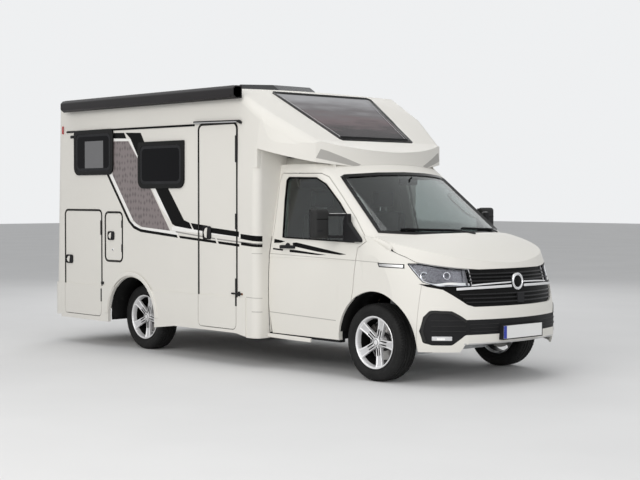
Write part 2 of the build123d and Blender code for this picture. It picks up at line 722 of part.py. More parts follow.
# tall lamp clusters let into the rear corners
lamp_z = (760.0, 1500.0)
lamp_y = (880.0, 1000.0)
with BuildPart() as tail_lamps:
    add(coach_form(-8.0))
    add(coach_form(10.0), mode=Mode.SUBTRACT)
    add(side_block([(-5000.0, lamp_z[0]), (-4700.0, lamp_z[0]), (-4700.0, lamp_z[1]), (-5000.0, lamp_z[1])],
                   -lamp_y[1], lamp_y[1]), mode=Mode.INTERSECT)
    add(cuboid((-5100.0, -4600.0), (-lamp_y[0], lamp_y[0]), (700.0, 1600.0)), mode=Mode.SUBTRACT)
with BuildPart() as rear_wall:
    add(coach_outer)
    add(coach_inner, mode=Mode.SUBTRACT)
    add(cuboid((-5100.0, rear_seam), (-1200.0, 1200.0), (skirt_top_z, 2700.0)), mode=Mode.INTERSECT)
    add(tail_lamps.part, mode=Mode.SUBTRACT)
save(rear_wall.part, "rear_wall")
save(tail_lamps.part, "tail_lamps")

# corner fairings that turn the walls in to the cab's sides
fairing_front = -1352.0
fairing_turn = 74.0
fairing_wall = 26.0
with BuildPart() as fairings:
    for name, side in SIDES:
        with BuildSketch(Plane.XY.offset(278.0)):
            with BuildLine():
                outer = Line((axle_x + cap_seam, side * coach_half), (axle_x + fairing_front - fairing_turn, side * coach_half))
                turn = RadiusArc(outer @ 1, (axle_x + fairing_front, side * (coach_half - fairing_turn)), side * fairing_turn)
                inward = Line(turn @ 1, (axle_x + fairing_front, side * 700.0))
                inner_end = Line(inward @ 1, (axle_x + fairing_front - fairing_wall, side * 700.0))
                inner_front = Line(inner_end @ 1, (axle_x + fairing_front - fairing_wall, side * (coach_half - fairing_turn)))
                inner_turn = RadiusArc(
                    inner_front @ 1,
                    (axle_x + fairing_front - fairing_turn, side * (coach_half - fairing_wall)),
                    -side * (fairing_turn - fairing_wall),
                )
                inner = Line(inner_turn @ 1, (axle_x + cap_seam, side * (coach_half - fairing_wall)))
                Line(inner @ 1, outer @ 0)
            make_face()
        extrude(amount=2060.0 - 278.0)
    # keep to the body's own form, whose sides lean in above the cab
    add(coach_outer, mode=Mode.INTERSECT)
    add(cab_form(-1.0), mode=Mode.SUBTRACT)
    add(cab_cap.part, mode=Mode.SUBTRACT)
save(fairings.part, "corner_fairings")

# ---------------------------------------------------------------- floor and chassis
with BuildPart() as floor_panel:
    add(cuboid((-4690.0, -1392.0), (-1050.0, 1050.0), (floor_z - floor_thickness, floor_z)))
    for side in (1, -1):
        add(cuboid((-3860.0, -2860.0), sorted((side * 640.0, side * 1070.0)), (400.0, 800.0)), mode=Mode.SUBTRACT)
    add(cuboid((-2232.0, -1627.0), (-1060.0, -760.0), (500.0, 600.0)), mode=Mode.SUBTRACT)
save(floor_panel.part, "floor_panel")

with BuildPart() as wheel_housings:
    for side in (1, -1):
        add(cuboid((-3850.0, -2870.0), sorted((side * 650.0, side * 1060.0)), (floor_z - floor_thickness, 840.0)))
        add(cuboid((-3830.0, -2890.0), sorted((side * 666.0, side * 1080.0)), (500.0, 824.0)), mode=Mode.SUBTRACT)
save(wheel_housings.part, "wheel_housings")

with BuildPart() as entry_step:
    add(cuboid((-2236.0, -1624.0), (-1064.0, -750.0), (330.0, 514.0)))
    add(cuboid((-2222.0, -1638.0), (-1080.0, -764.0), (344.0, 600.0)), mode=Mode.SUBTRACT)
save(entry_step.part, "entry_step")

rail_y = 430.0
rail_height = 140.0
rail_width = 60.0
rail_z = 376.0
JACK_X = (-2300.0, -900.0)
jack_pad = 12.0
jack_pad_length = 100.0
tow_x = -4400.0
tow_y = 424.0
tow_spacing = 120.0
tow_hole_radius = 6.5
with BuildPart() as chassis_frame:
    for side in (1, -1):
        y = sorted((side * (rail_y - rail_width / 2), side * (rail_y + rail_width / 2)))
        add(cuboid((-4800.0, 640.0), y, (rail_z, rail_z + rail_height)))
        y_in = sorted((side * (rail_y - rail_width), side * (rail_y + rail_width / 2 - 8.0)))
        add(cuboid((-4760.0, -1500.0), y_in, (rail_z + 10.0, rail_z + rail_height - 10.0)), mode=Mode.SUBTRACT)
    for x in (-4780.0, -4000.0, -2700.0, -1900.0, -1300.0, -450.0, 580.0):
        add(cuboid((x - 30.0, x + 30.0), (-rail_y - 26.0, rail_y + 26.0), (rail_z + 20.0, rail_z + rail_height - 20.0)))
    # pads under the rails for a jack, and bolt holes for a tow bar in the rear flanges
    for side in (1, -1):
        for x in JACK_X:
            with Locations((axle_x + x, side * rail_y, rail_z - jack_pad / 2)):
                Box(jack_pad_length, rail_width, jack_pad)
        for x in (tow_x - tow_spacing / 2, tow_x + tow_spacing / 2):
            with Locations((axle_x + x, side * tow_y, rail_z + 5.0)):
                Cylinder(tow_hole_radius, 30.0, mode=Mode.SUBTRACT)
save(chassis_frame.part, "chassis_frame")

# ---------------------------------------------------------------- cab inside
well_inner_y = 480.0       # the front wheel wells, wide enough for full lock
well_top_z = 740.0
with BuildPart() as cab_floor:
    add(cuboid((-1384.0, -168.0), (-880.0, 880.0), (518.0, 540.0)))
    for side in (1, -1):
        add(cuboid((-1384.0, -452.0), sorted((side * 820.0, side * 880.0)), (300.0, 518.0)))
    add(cuboid((-190.0, -168.0), (-860.0, 860.0), (540.0, 1150.0)))
    for side in (1, -1):
        well_y = sorted((side * well_inner_y, side * 1000.0))
        add(cuboid((-452.0, 0.0), well_y, (200.0, well_top_z)), mode=Mode.SUBTRACT)
save(cab_floor.part, "cab_floor")

with BuildPart() as dashboard:
    with BuildSketch(Plane.XZ.offset(-830.0)) as dash_face:
        with BuildLine():
            Polyline([(axle_x + x, z) for x, z in (
                (-196.0, 1150.0), (-196.0, 900.0), (-330.0, 760.0), (-470.0, 900.0), (-500.0, 1080.0),
                (-420.0, 1180.0), (-196.0, 1215.0))], close=True)
        make_face()
        fillet(dash_face.vertices(), 24.0)
    extrude(amount=1660.0)
save(dashboard.part, "dashboard")

seat_y = 410.0
with BuildPart() as cab_seats:
    for side in (1, -1):
        for x, y, z in (
            ((-1130.0, -640.0), (seat_y - 245, seat_y + 245), (760.0, 900.0)),
            ((-1250.0, -1120.0), (seat_y - 240, seat_y + 240), (860.0, 1460.0)),
            ((-1240.0, -1150.0), (seat_y - 130, seat_y + 130), (1480.0, 1650.0)),
            ((-1200.0, -1180.0), (seat_y - 60, seat_y + 60), (1440.0, 1500.0)),
            ((-1080.0, -700.0), (seat_y - 180, seat_y + 180), (540.0, 780.0)),
        ):
            add(cuboid(x, sorted((side * y[0], side * y[1])), z))
save(cab_seats.part, "cab_seats")

wheel_x = -600.0
wheel_centre_z = 1075.0
column_rake = 27.0
steering_radius = 188.0
column_plane = Plane(
    origin=(axle_x + wheel_x, seat_y, wheel_centre_z),
    x_dir=(0, 1, 0),
    z_dir=(-cos(radians(column_rake)), 0, sin(radians(column_rake))),
)
with BuildPart() as steering_wheel:
    with BuildSketch(column_plane):
        Circle(steering_radius)
        Circle(steering_radius - 30.0, mode=Mode.SUBTRACT)
    extrude(amount=28.0)
    with BuildSketch(column_plane):
        Circle(62.0)
        Rectangle(2 * steering_radius - 20.0, 46.0)
    extrude(amount=20.0)
    with BuildSketch(column_plane):
        Circle(24.0)
    extrude(amount=-60.0)
save(steering_wheel.part, "steering_wheel")

with BuildPart() as steering_column:
    with BuildSketch(column_plane.offset(-66.0)):
        Circle(34.0)
    extrude(amount=-110.0)
    add(dashboard.part, mode=Mode.SUBTRACT)
save(steering_column.part, "steering_column")

# ---------------------------------------------------------------- glass
with BuildPart() as windscreen:
    add(glass_form(6.0))
    add(glass_form(13.0), mode=Mode.SUBTRACT)
    add(front_block(grown(WINDSCREEN, -2.0), -800.0, 600.0), mode=Mode.INTERSECT)
save(windscreen.part, "windscreen")

for name, side in SIDES:
    y_in, y_out = sorted((side * 500.0, side * 1000.0))
    with BuildPart() as door_glass:
        add(glass_form(10.0))
        add(glass_form(16.0), mode=Mode.SUBTRACT)
        add(side_block(grown(DOOR_WINDOW, -1.0), y_in, y_out), mode=Mode.INTERSECT)
    save(door_glass.part, "door_glass_" + name)

# ---------------------------------------------------------------- mirrors, awning, roof light
mirror_back_x = -515.0
mirror_depth = 90.0
MIRROR_BASE = [(-345.0, 1205.0), (-130.0, 1205.0), (-130.0, 1220.0), (-285.0, 1372.0), (-285.0, 1450.0),
               (-320.0, 1450.0), (-345.0, 1385.0)]
for name, side in SIDES:
    with BuildPart() as mirror:
        with BuildSketch(Plane.YZ.offset(axle_x + mirror_back_x)):
            with Locations((side * 1120.0, 1362.0)):
                RectangleRounded(170.0, 262.0, 40.0)
        extrude(amount=mirror_depth)
        add(side_block(MIRROR_BASE, *sorted((side * 880.0, side * 955.0))))
        for arm_z in (1236.0, 1428.0):
            add(cuboid((-460.0, -290.0), sorted((side * 915.0, side * 1050.0)), (arm_z, arm_z + 22.0)))
        add(outer_cab, mode=Mode.SUBTRACT)
    save(mirror.part, "mirror_" + name)

awning_x = (-4530.0, -1560.0)
awning_z = (2512.0, 2637.0)
awning_depth = 112.0
with BuildPart() as awning:
    with BuildSketch(Plane.YZ.offset(axle_x + awning_x[0])) as casing:
        with BuildLine():
            Polyline(
                (-coach_half, awning_z[0] + 8.0), (-coach_half - 70.0, awning_z[0]),
                (-coach_half - awning_depth, awning_z[0] + 30.0), (-coach_half - awning_depth, awning_z[1] - 30.0),
                (-coach_half - 80.0, awning_z[1]), (-coach_half, awning_z[1]), close=True)
        make_face()
        fillet(casing.vertices().sort_by(Axis.X)[:3], 24.0)
    extrude(amount=awning_x[1] - awning_x[0])
save(awning.part, "awning")

with BuildPart() as roof_light:
    with BuildSketch(Plane.XZ.offset(-250.0)) as hump:
        with BuildLine():
            Polyline([(axle_x + x, z) for x, z in ((-2660.0, 2637.0), (-2640.0, 2760.0), (-2100.0, 2722.0),
                                                  (-1960.0, 2637.0))], close=True)
        make_face()
        fillet(hump.vertices().group_by(Axis.Y)[-1], 30.0)
    extrude(amount=500.0)
save(roof_light.part, "roof_light")

# ---------------------------------------------------------------- engine, tank, exhaust
with BuildPart() as engine_block:
    add(cuboid((-60.0, 520.0), (-330.0, 330.0), (330.0, 900.0)))
save(engine_block.part, "engine_block")
with BuildPart() as fuel_tank:
    add(cuboid((-1800.0, -1000.0), (-350.0, 350.0), (250.0, 372.0)))
save(fuel_tank.part, "fuel_tank")

# ---------------------------------------------------------------- wheels
TYRE_PROFILE = (
    (rim_radius + tyre_fit, tyre_width / 2 - 16.0),
    (rim_radius + 76.0, tyre_width / 2),
    (tyre_radius, tyre_width / 2 - 32.0),
)
RIM_PROFILE = (
    (rim_radius, rim_width / 2), (rim_radius, -rim_width / 2), (rim_radius - 10.0, -rim_width / 2),
    (rim_radius - 26.0, -20.0), (rim_radius - 22.0, rim_width / 2 - 16.0), (rim_radius - 8.0, rim_width / 2),
)


def wheel_parts(x, side):
    """Tyre and rim about the wheel's own axis, outer face away from the vehicle."""
    centre = (x, side * wheel_y, wheel_z)
    plane = Plane(origin=centre, x_dir=(0, side, 0), z_dir=(-side, 0, 0))
    axis = Axis(centre, (0, 1, 0))
    with BuildPart(mode=Mode.PRIVATE) as tyre:
        with BuildSketch(plane):
            with BuildLine():
                outer = Polyline([(w, r) for r, w in TYRE_PROFILE])
                tread = Line(outer @ 1, (-TYRE_PROFILE[-1][1], TYRE_PROFILE[-1][0]))
                inner = Polyline([(-w, r) for r, w in reversed(TYRE_PROFILE)])
                Line(inner @ 1, outer @ 0)
            make_face()
        revolve(axis=axis)
    with BuildPart(mode=Mode.PRIVATE) as rim:
        with BuildSketch(plane):
            with BuildLine():
                Polyline([(w, r) for r, w in RIM_PROFILE], close=True)
            make_face()
        revolve(axis=axis)
        face_w = rim_width / 2 - 12.0
        disc = Plane(origin=(x, side * (wheel_y + face_w), wheel_z), x_dir=(1, 0, 0), z_dir=(0, side, 0))
        with BuildSketch(disc):
            Circle(hub_radius)
            with PolarLocations(0, spoke_count):
                with Locations((120.0, 0.0)):
                    Rectangle(160.0, spoke_width)
        extrude(amount=-34.0)
        # the flat web lies a little below the two ribs along each spoke's edges
        with BuildSketch(disc):
            with PolarLocations(0, spoke_count):
                with Locations((135.0, 0.0)):
                    Rectangle(110.0, spoke_width - 2 * spoke_rib)
        extrude(amount=-web_depth, mode=Mode.SUBTRACT)
        with BuildSketch(disc):
            Circle(hub_radius)
        extrude(amount=-90.0)
        with BuildSketch(disc):
            Circle(bore_radius)
        extrude(amount=-200.0, mode=Mode.SUBTRACT)
    return tyre.part, rim.part


for end, x in (("front", axle_x), ("rear", rear_axle_x)):
    for name, side in SIDES:
        tyre_part, rim_part = wheel_parts(x, side)
        save(tyre_part, "tyre_" + end + "_" + name)
        save(rim_part, "rim_" + end + "_" + name)

# knuckles with the stubs the front wheels turn on; the kingpin is upright
kingpin_y = wheel_y - 140.0
stub_out = rim_width / 2 - 20.0
for name, side in SIDES:
    stub_plane = Plane(origin=(axle_x, side * kingpin_y, wheel_z), x_dir=(1, 0, 0), z_dir=(0, side, 0))
    with BuildPart() as knuckle:
        with BuildSketch(stub_plane):
            Circle(bore_radius - stub_clearance)
        extrude(amount=wheel_y + stub_out - kingpin_y)
        with BuildSketch(Plane.XY.offset(wheel_z - 90.0)):
            with Locations((axle_x, side * kingpin_y)):
                Circle(34.0)
        extrude(amount=190.0)
        with BuildSketch(stub_plane.offset(20.0)):
            Circle(60.0)
        extrude(amount=30.0)
    save(knuckle.part, "knuckle_" + name)

with BuildPart() as front_axle:
    for side in (1, -1):
        add(cuboid((-26.0, 26.0), sorted((side * 330.0, side * (kingpin_y + 22.0))), (wheel_z - 130.0, wheel_z - 96.0)))
        add(cuboid((-26.0, 26.0), sorted((side * (kingpin_y - 60.0), side * (kingpin_y + 22.0))), (wheel_z + 106.0, wheel_z + 200.0)))
        add(cuboid((-40.0, 40.0), sorted((side * (kingpin_y - 60.0), side * (kingpin_y - 10.0))), (wheel_z + 190.0, 900.0)))
    add(cuboid((-90.0, 90.0), (-480.0, 480.0), (wheel_z - 130.0, wheel_z - 70.0)))
    for side in (1, -1):
        post_y = sorted((side * (rail_y - 30.0), side * (rail_y + 30.0)))
        add(cuboid((-20.0, 20.0), post_y, (wheel_z - 80.0, rail_z)))
save(front_axle.part, "front_axle")

with BuildPart() as rear_axle:
    add(cuboid((-3240.0, -3160.0), (-700.0, 700.0), (300.0, 374.0)))
    for side in (1, -1):
        add(cuboid((-3440.0, -3160.0), sorted((side * 640.0, side * 690.0)), (300.0, 376.0)))
        stub_plane = Plane(origin=(rear_axle_x, side * 640.0, wheel_z), x_dir=(1, 0, 0), z_dir=(0, side, 0))
        with BuildSketch(stub_plane):
            Circle(bore_radius - stub_clearance)
        extrude(amount=wheel_y + stub_out - 640.0)
        with BuildSketch(stub_plane):
            Circle(60.0)
        extrude(amount=70.0)
save(rear_axle.part, "rear_axle")
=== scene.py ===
import json
import math

import bmesh
import bpy
from mathutils import Matrix, Vector
from mathutils.bvhtree import BVHTree


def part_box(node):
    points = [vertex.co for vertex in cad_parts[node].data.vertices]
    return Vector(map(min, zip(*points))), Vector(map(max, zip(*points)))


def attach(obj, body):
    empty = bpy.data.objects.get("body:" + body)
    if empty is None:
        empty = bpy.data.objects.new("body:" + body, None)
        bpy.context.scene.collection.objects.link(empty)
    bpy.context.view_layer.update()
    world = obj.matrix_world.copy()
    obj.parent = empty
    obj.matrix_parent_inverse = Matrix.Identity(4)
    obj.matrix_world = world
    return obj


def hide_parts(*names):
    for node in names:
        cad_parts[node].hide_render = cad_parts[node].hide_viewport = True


# Camper van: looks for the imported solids. Metres, X forward, Y left, Z up.
# Lengths "from the axle" are forward of the front axle, as in the part's source.
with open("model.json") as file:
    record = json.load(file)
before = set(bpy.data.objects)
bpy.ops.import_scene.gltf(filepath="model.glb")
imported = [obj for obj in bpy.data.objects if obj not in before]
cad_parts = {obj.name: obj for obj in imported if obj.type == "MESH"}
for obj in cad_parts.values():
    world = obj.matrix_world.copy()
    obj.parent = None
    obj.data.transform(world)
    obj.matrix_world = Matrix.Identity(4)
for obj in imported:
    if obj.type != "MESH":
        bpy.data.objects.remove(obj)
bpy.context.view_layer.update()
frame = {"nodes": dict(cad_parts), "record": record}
nodes = frame["nodes"]
body_of_node = {n: b for b, names in frame["record"]["behaviour"]["bodies"].items() for n in names}

AXLE = 2.032
REAR_AXLE = -1.368
WHEEL_Y = 0.814
WHEEL_Z = 0.338
WALL_Y = 1.1
SIDES = (("left", 1), ("right", -1))
UP = (0, 0, 1)


# ---------------------------------------------------------------- mesh helpers
def spot(x, y, z, side=1):
    """A point at a length from the axle, its y on the given side."""
    return Vector((AXLE + x, side * y, z))


def way_at(degrees):
    """The direction at an angle in a wheel's plane, and the one square to it."""
    t = math.radians(degrees)
    return Vector((math.cos(t), 0, math.sin(t))), Vector((-math.sin(t), 0, math.cos(t)))


def add_object(name, mesh, material, body="root", slot=None, smooth=35.0, bevel=0.0, segments=2):
    """Link a mesh as a piece that rides on a body."""
    mesh.validate()
    mesh.materials.clear()
    mesh.materials.append(material)
    mesh.shade_smooth()
    mesh.set_sharp_from_angle(angle=math.radians(smooth))
    obj = bpy.data.objects.new(name, mesh)
    bpy.context.scene.collection.objects.link(obj)
    if bevel:
        rounding = obj.modifiers.new("rounding", "BEVEL")
        rounding.width = bevel
        rounding.segments = segments
        rounding.limit_method = "ANGLE"
        rounding.angle_limit = math.radians(40)
        rounding.harden_normals = False
    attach(obj, body)
    return obj


def mesh_of(name, work):
    """A new mesh from a finished bmesh."""
    mesh = bpy.data.meshes.new(name)
    work.to_mesh(mesh)
    work.free()
    return mesh


def mesh_from(name, verts, faces, weld=False):
    """A mesh from points and faces, with its normals outwards."""
    start = bpy.data.meshes.new(name)
    start.from_pydata([tuple(v) for v in verts], [], faces)
    start.update()
    work = bmesh.new()
    work.from_mesh(start)
    bpy.data.meshes.remove(start)
    bmesh.ops.recalc_face_normals(work, faces=work.faces)
    if weld:
        bmesh.ops.remove_doubles(work, verts=work.verts, dist=1e-5)
        bmesh.ops.recalc_face_normals(work, faces=work.faces)
    return mesh_of(name, work)


def grid_faces(rows, cols, wrap_rows=False, wrap_cols=False):
    """Quads over points kept row by row; a wrapped direction closes on itself."""
    faces = []
    for i in range(rows if wrap_rows else rows - 1):
        here = i * cols
        there = (i + 1) % rows * cols
        for k in range(cols if wrap_cols else cols - 1):
            j = (k + 1) % cols
            faces.append((here + k, here + j, there + j, there + k))
    return faces


def place(axis, a, b, depth=0.0):
    """A point from an outline's two numbers: (length, height) for y, (y, height) for x."""
    return spot(a, depth, b) if axis == "y" else spot(depth, a, b)


def slab(name, outline, low, high, material, body="root", side=1, axis="y", **more):
    """An outline given a thickness, on the given side; its numbers are as place takes them."""
    n = len(outline)
    verts = [place(axis, a, b, depth) for depth in sorted((side * low, side * high)) for a, b in outline]
    faces = [tuple(range(n)), tuple(range(2 * n - 1, n - 1, -1))]
    faces += [(i, (i + 1) % n, n + (i + 1) % n, n + i) for i in range(n)]
    return add_object(name, mesh_from(name, verts, faces), material, body, **more)


def ring(name, outer, inner, low, high, material, body="root", side=1, axis="y", **more):
    """A frame between two outlines with the same number of points."""
    n = len(outer)
    verts = []
    for depth in sorted((side * low, side * high)):
        verts += [place(axis, a, b, depth) for a, b in outer + inner]
    faces = []
    for i in range(n):
        j = (i + 1) % n
        faces += [(i, j, n + j, n + i), (2 * n + i, 3 * n + i, 3 * n + j, 2 * n + j),
                  (i, 2 * n + i, 2 * n + j, j), (n + i, n + j, 3 * n + j, 3 * n + i)]
    return add_object(name, mesh_from(name, verts, faces), material, body, **more)


def rounded(a, b, radius, steps=6):
    """A rectangle between a[0]..a[1] and b[0]..b[1]; radius is one number or one per corner."""
    radii = radius if isinstance(radius, tuple) else (radius,) * 4
    corners = ((a[0], b[0], 180, 1, 1), (a[1], b[0], 270, -1, 1), (a[1], b[1], 0, -1, -1),
               (a[0], b[1], 90, 1, -1))
    points = []
    for (x, y, start, in_x, in_y), r in zip(corners, radii):
        for k in range(steps + 1):
            t = math.radians(start + 90.0 * k / steps)
            points.append((x + in_x * r + r * math.cos(t), y + in_y * r + r * math.sin(t)))
    return points


def walk(outline, step=0.05, count=None):
    """Points along a closed outline: count of them on each edge, or a step or less apart."""
    points = []
    for p, q in zip(outline, outline[1:] + outline[:1]):
        parts = count or max(2, int(math.dist(p, q) / step))
        for s in range(parts):
            t = s / parts
            points.append((p[0] + (q[0] - p[0]) * t, p[1] + (q[1] - p[1]) * t))
    return points


def smooth_path(points, steps=6):
    """Points along a Catmull-Rom curve through the given ones."""
    points = [Vector(p) for p in points]
    last = len(points) - 1
    out = []
    for i in range(last):
        a, b, c, d = [points[min(max(i + k, 0), last)] for k in (-1, 0, 1, 2)]
        for s in range(steps):
            t = s / steps
            out.append(0.5 * (2 * b + (c - a) * t + (2 * a - 5 * b + 4 * c - d) * t * t
                              + (3 * b - a - 3 * c + d) * t * t * t))
    return out + [points[-1]]


def sweep_mesh(name, path, section, closed=False, up=UP):
    """A section (u across, v along up) carried along a path of points."""
    path = [Vector(p) for p in path]
    n = len(path)
    m = len(section)
    verts = []
    for i, p in enumerate(path):
        ahead = path[(i + 1) % n] if closed or i < n - 1 else p
        behind = path[i - 1] if closed or i > 0 else p
        way = (ahead - behind).normalized()
        side = way.cross(Vector(up))
        side = side.normalized() if side.length > 1e-6 else Vector((1, 0, 0))
        top = side.cross(way).normalized()
        verts += [p + side * u + top * v for u, v in section]
    faces = grid_faces(n, m, closed, True)
    if not closed:
        faces += [tuple(range(m)), tuple(range((n - 1) * m, n * m))]
    return mesh_from(name, verts, faces)


def circle_section(radius, count=8):
    angles = [2 * math.pi * k / count for k in range(count)]
    return [(radius * math.cos(t), radius * math.sin(t)) for t in angles]


def flat_section(width, height):
    u = width / 2
    v = height / 2
    return [(-u, -v), (u, -v), (u, v), (-u, v)]


def tube(name, path, radius, material, body="root", count=8, up=UP):
    mesh = sweep_mesh(name, path, circle_section(radius, count), up=up)
    return add_object(name, mesh, material, body)


def strip(name, path, width, height, material, body="root", closed=False, up=UP, **more):
    mesh = sweep_mesh(name, path, flat_section(width, height), closed, up)
    return add_object(name, mesh, material, body, **more)


def lathe_mesh(name, profile, centre, axis, count=64, close=False):
    """Turn (radius, along) points about an axis through the centre."""
    axis = Vector(axis).normalized()
    first = axis.orthogonal().normalized()
    second = axis.cross(first)
    centre = Vector(centre)
    verts = []
    for k in range(count):
        t = 2 * math.pi * k / count
        out = first * math.cos(t) + second * math.sin(t)
        verts += [centre + out * r + axis * w for r, w in profile]
    return mesh_from(name, verts, grid_faces(count, len(profile), True, close), weld=True)


def lathe(name, profile, centre, axis, material, body="root", count=64, close=False, **more):
    return add_object(name, lathe_mesh(name, profile, centre, axis, count, close), material, body, **more)


def block(name, centre, size, material, body="root", bevel=0.004, turn=None, segments=3):
    """A block with rounded edges, turned about its centre if asked."""
    work = bmesh.new()
    bmesh.ops.create_cube(work, size=1.0)
    bmesh.ops.scale(work, vec=size, verts=work.verts)
    if turn:
        bmesh.ops.rotate(work, matrix=turn, verts=work.verts)
    bmesh.ops.translate(work, vec=centre, verts=work.verts)
    return add_object(name, mesh_of(name, work), material, body, bevel=bevel, segments=segments)


def thicken(obj, thickness, offset=0):
    solid = obj.modifiers.new("thickness", "SOLIDIFY")
    solid.thickness = thickness
    solid.offset = offset


def sheet_through(name, rows, material, thickness=0.002, **more):
    """A surface through rows of points."""
    verts = [p for row in rows for p in row]
    faces = grid_faces(len(rows), len(rows[0]))
    thicken(add_object(name, mesh_from(name, verts, faces), material, **more), thickness)


def outward(side):
    return Vector((0, side, 0))


def skin_mesh(name, node, polygon, view, side, push, facing):
    """The node's outer face inside a convex outline seen along the view's axis, lifted by push."""
    work = bmesh.new()
    work.from_mesh(nodes[node].data)
    look = outward(1) if view == "y" else Vector((1, 0, 0))
    middle = place(view, *[sum(p[i] for p in polygon) / len(polygon) for i in (0, 1)])
    corners = [place(view, *p) for p in polygon]
    for a, b in zip(corners, corners[1:] + corners[:1]):
        normal = (b - a).cross(look).normalized()
        if (middle - a).dot(normal) > 0:
            normal.negate()
        parts = work.verts[:] + work.edges[:] + work.faces[:]
        bmesh.ops.bisect_plane(work, geom=parts, plane_co=a, plane_no=normal, clear_outer=True, dist=1e-6)
    away = [f for f in work.faces if f.normal.dot(look * side) < facing]
    bmesh.ops.delete(work, geom=away, context="FACES")
    loose = [v for v in work.verts if not v.link_faces]
    bmesh.ops.delete(work, geom=loose, context="VERTS")
    bmesh.ops.remove_doubles(work, verts=work.verts, dist=1e-5)
    work.normal_update()
    for v in work.verts:
        v.co += v.normal * push
    return mesh_of(name, work)


def skin(name, on, polygon, view, side, material, push, facing):
    """One lifted face for each node that the outline crosses, each riding with its node."""
    made = []
    for node in on:
        mesh = skin_mesh(name, node, polygon, view, side, push, facing)
        if len(mesh.polygons) == 0:
            bpy.data.meshes.remove(mesh)
        else:
            made.append(add_object(name + "." + node, mesh, material, body_of_node[node], smooth=60.0))
    return made


trees = {}


def tree_of(names):
    """A search tree over the faces of the named nodes."""
    if names not in trees:
        verts = []
        faces = []
        for mesh in [nodes[n].data for n in names]:
            base = len(verts)
            verts += [v.co.copy() for v in mesh.vertices]
            faces += [tuple(base + i for i in p.vertices) for p in mesh.polygons]
        trees[names] = BVHTree.FromPolygons(verts, faces)
    return trees[names]


def hit(names, start, way):
    """Where a ray first meets the named nodes, or None."""
    return tree_of(names).ray_cast(Vector(start), Vector(way))[0]


CAB_SKIN = ("fenders", "cab_door_left", "cab_door_right", "cab_shell", "front_bumper", "bonnet", "headlamps",
            "corner_fairings", "cab_posts", "door_glass_left", "door_glass_right", "windscreen", "cab_cap")
NOSE_SKIN = ("front_bumper", "grille", "bumper_trim", "headlamps", "bonnet", "fenders")


def nearby(a, b, spread):
    """A point and eight round it, so that no ray is lost in a joint."""
    return [(a + da, b + db) for da in (0.0, -spread, spread) for db in (0.0, -spread, spread)]


def side_point(x, z, side, names=CAB_SKIN, lift=0.0, spread=0.01):
    """The outermost surface point at a length from the axle and a height, lifted outwards."""
    found = [hit(names, spot(a, 3.0, b, side), (0, -side, 0)) for a, b in nearby(x, z, spread)]
    best = max((side * p.y for p in found if p is not None), default=0.9)
    return spot(x, best + lift, z, side)


def front_point(y, z, names=NOSE_SKIN, lift=0.0, spread=0.004):
    """The foremost surface point at a y and a height, lifted forwards."""
    found = [hit(names, (6.0, a, b), (-1, 0, 0)) for a, b in nearby(y, z, spread)]
    best = max((p.x for p in found if p is not None), default=AXLE + 0.6)
    return Vector((best + lift, y, z))


def front_line(points, names, lift, spread=0.0, side=1):
    """Points on the front for (y, height) pairs, on the given side."""
    return [front_point(side * y, z, names, lift, spread) for y, z in points]


def level_line(half, z, names, lift):
    """25 points across the front at one height, from -half to half."""
    return front_line([(half * (s / 12 - 1), z) for s in range(25)], names, lift)


# ---------------------------------------------------------------- materials
class Nodes:
    """A short way to build a node material."""

    def __init__(self, name):
        self.material = bpy.data.materials.new(name)
        self.material.use_nodes = True
        self.tree = self.material.node_tree
        self.inputs = self.tree.nodes["Principled BSDF"].inputs
        self.coords = self.add("ShaderNodeTexCoord").outputs["Object"]

    def add(self, kind, **values):
        """A new node; each value goes to the input of that name, or else to the node itself."""
        node = self.tree.nodes.new(kind)
        for key, value in values.items():
            if key in node.inputs.keys():
                node.inputs[key].default_value = value
            else:
                setattr(node, key, value)
        return node

    def link(self, a, b):
        self.tree.links.new(a, b)

    def stretched(self, scale):
        mapping = self.add("ShaderNodeMapping", vector_type="POINT", Scale=scale)
        self.link(self.coords, mapping.inputs["Vector"])
        return mapping.outputs["Vector"]

    def noise(self, scale, detail=3.0, stretch=None):
        node = self.add("ShaderNodeTexNoise", Scale=scale, Detail=detail)
        self.link(self.stretched(stretch) if stretch else self.coords, node.inputs["Vector"])
        return node.outputs["Fac"]

    def ramp(self, source, *stops):
        node = self.add("ShaderNodeValToRGB")
        while len(node.color_ramp.elements) < len(stops):
            node.color_ramp.elements.new(0.5)
        for element, (at, colour) in zip(node.color_ramp.elements, stops):
            element.position = at
            element.color = (*triple(colour), 1.0)
        self.link(source, node.inputs["Fac"])
        return node.outputs["Color"]

    def span(self, source, low, high, from_low=0.0, from_high=1.0):
        ends = {"From Min": from_low, "From Max": from_high, "To Min": low, "To Max": high}
        node = self.add("ShaderNodeMapRange", **ends)
        self.link(source, node.inputs["Value"])
        return node.outputs["Result"]

    def math(self, operation, a, b):
        """b is a number or another node's output."""
        node = self.add("ShaderNodeMath", operation=operation)
        self.link(a, node.inputs[0])
        if isinstance(b, float):
            node.inputs[1].default_value = b
        else:
            self.link(b, node.inputs[1])
        return node.outputs[0]

    def bump(self, source, distance, strength=1.0):
        node = self.add("ShaderNodeBump", Distance=distance, Strength=strength)
        self.link(source, node.inputs["Height"])
        self.link(node.outputs["Normal"], self.inputs["Normal"])

    def colour(self, source, *stops):
        self.link(self.ramp(source, *stops), self.inputs["Base Color"])

    def gloss(self, scale, detail, low, high):
        self.link(self.span(self.noise(scale, detail), low, high), self.inputs["Roughness"])

    def set(self, **values):
        for key, value in values.items():
            self.inputs[key.replace("_", " ")].default_value = value


def triple(colour):
    """A grey level as a colour; a colour stays as it is."""
    return colour if isinstance(colour, tuple) else (colour,) * 3


def shade(colour, by):
    return tuple(min(1.0, c * by) for c in triple(colour))


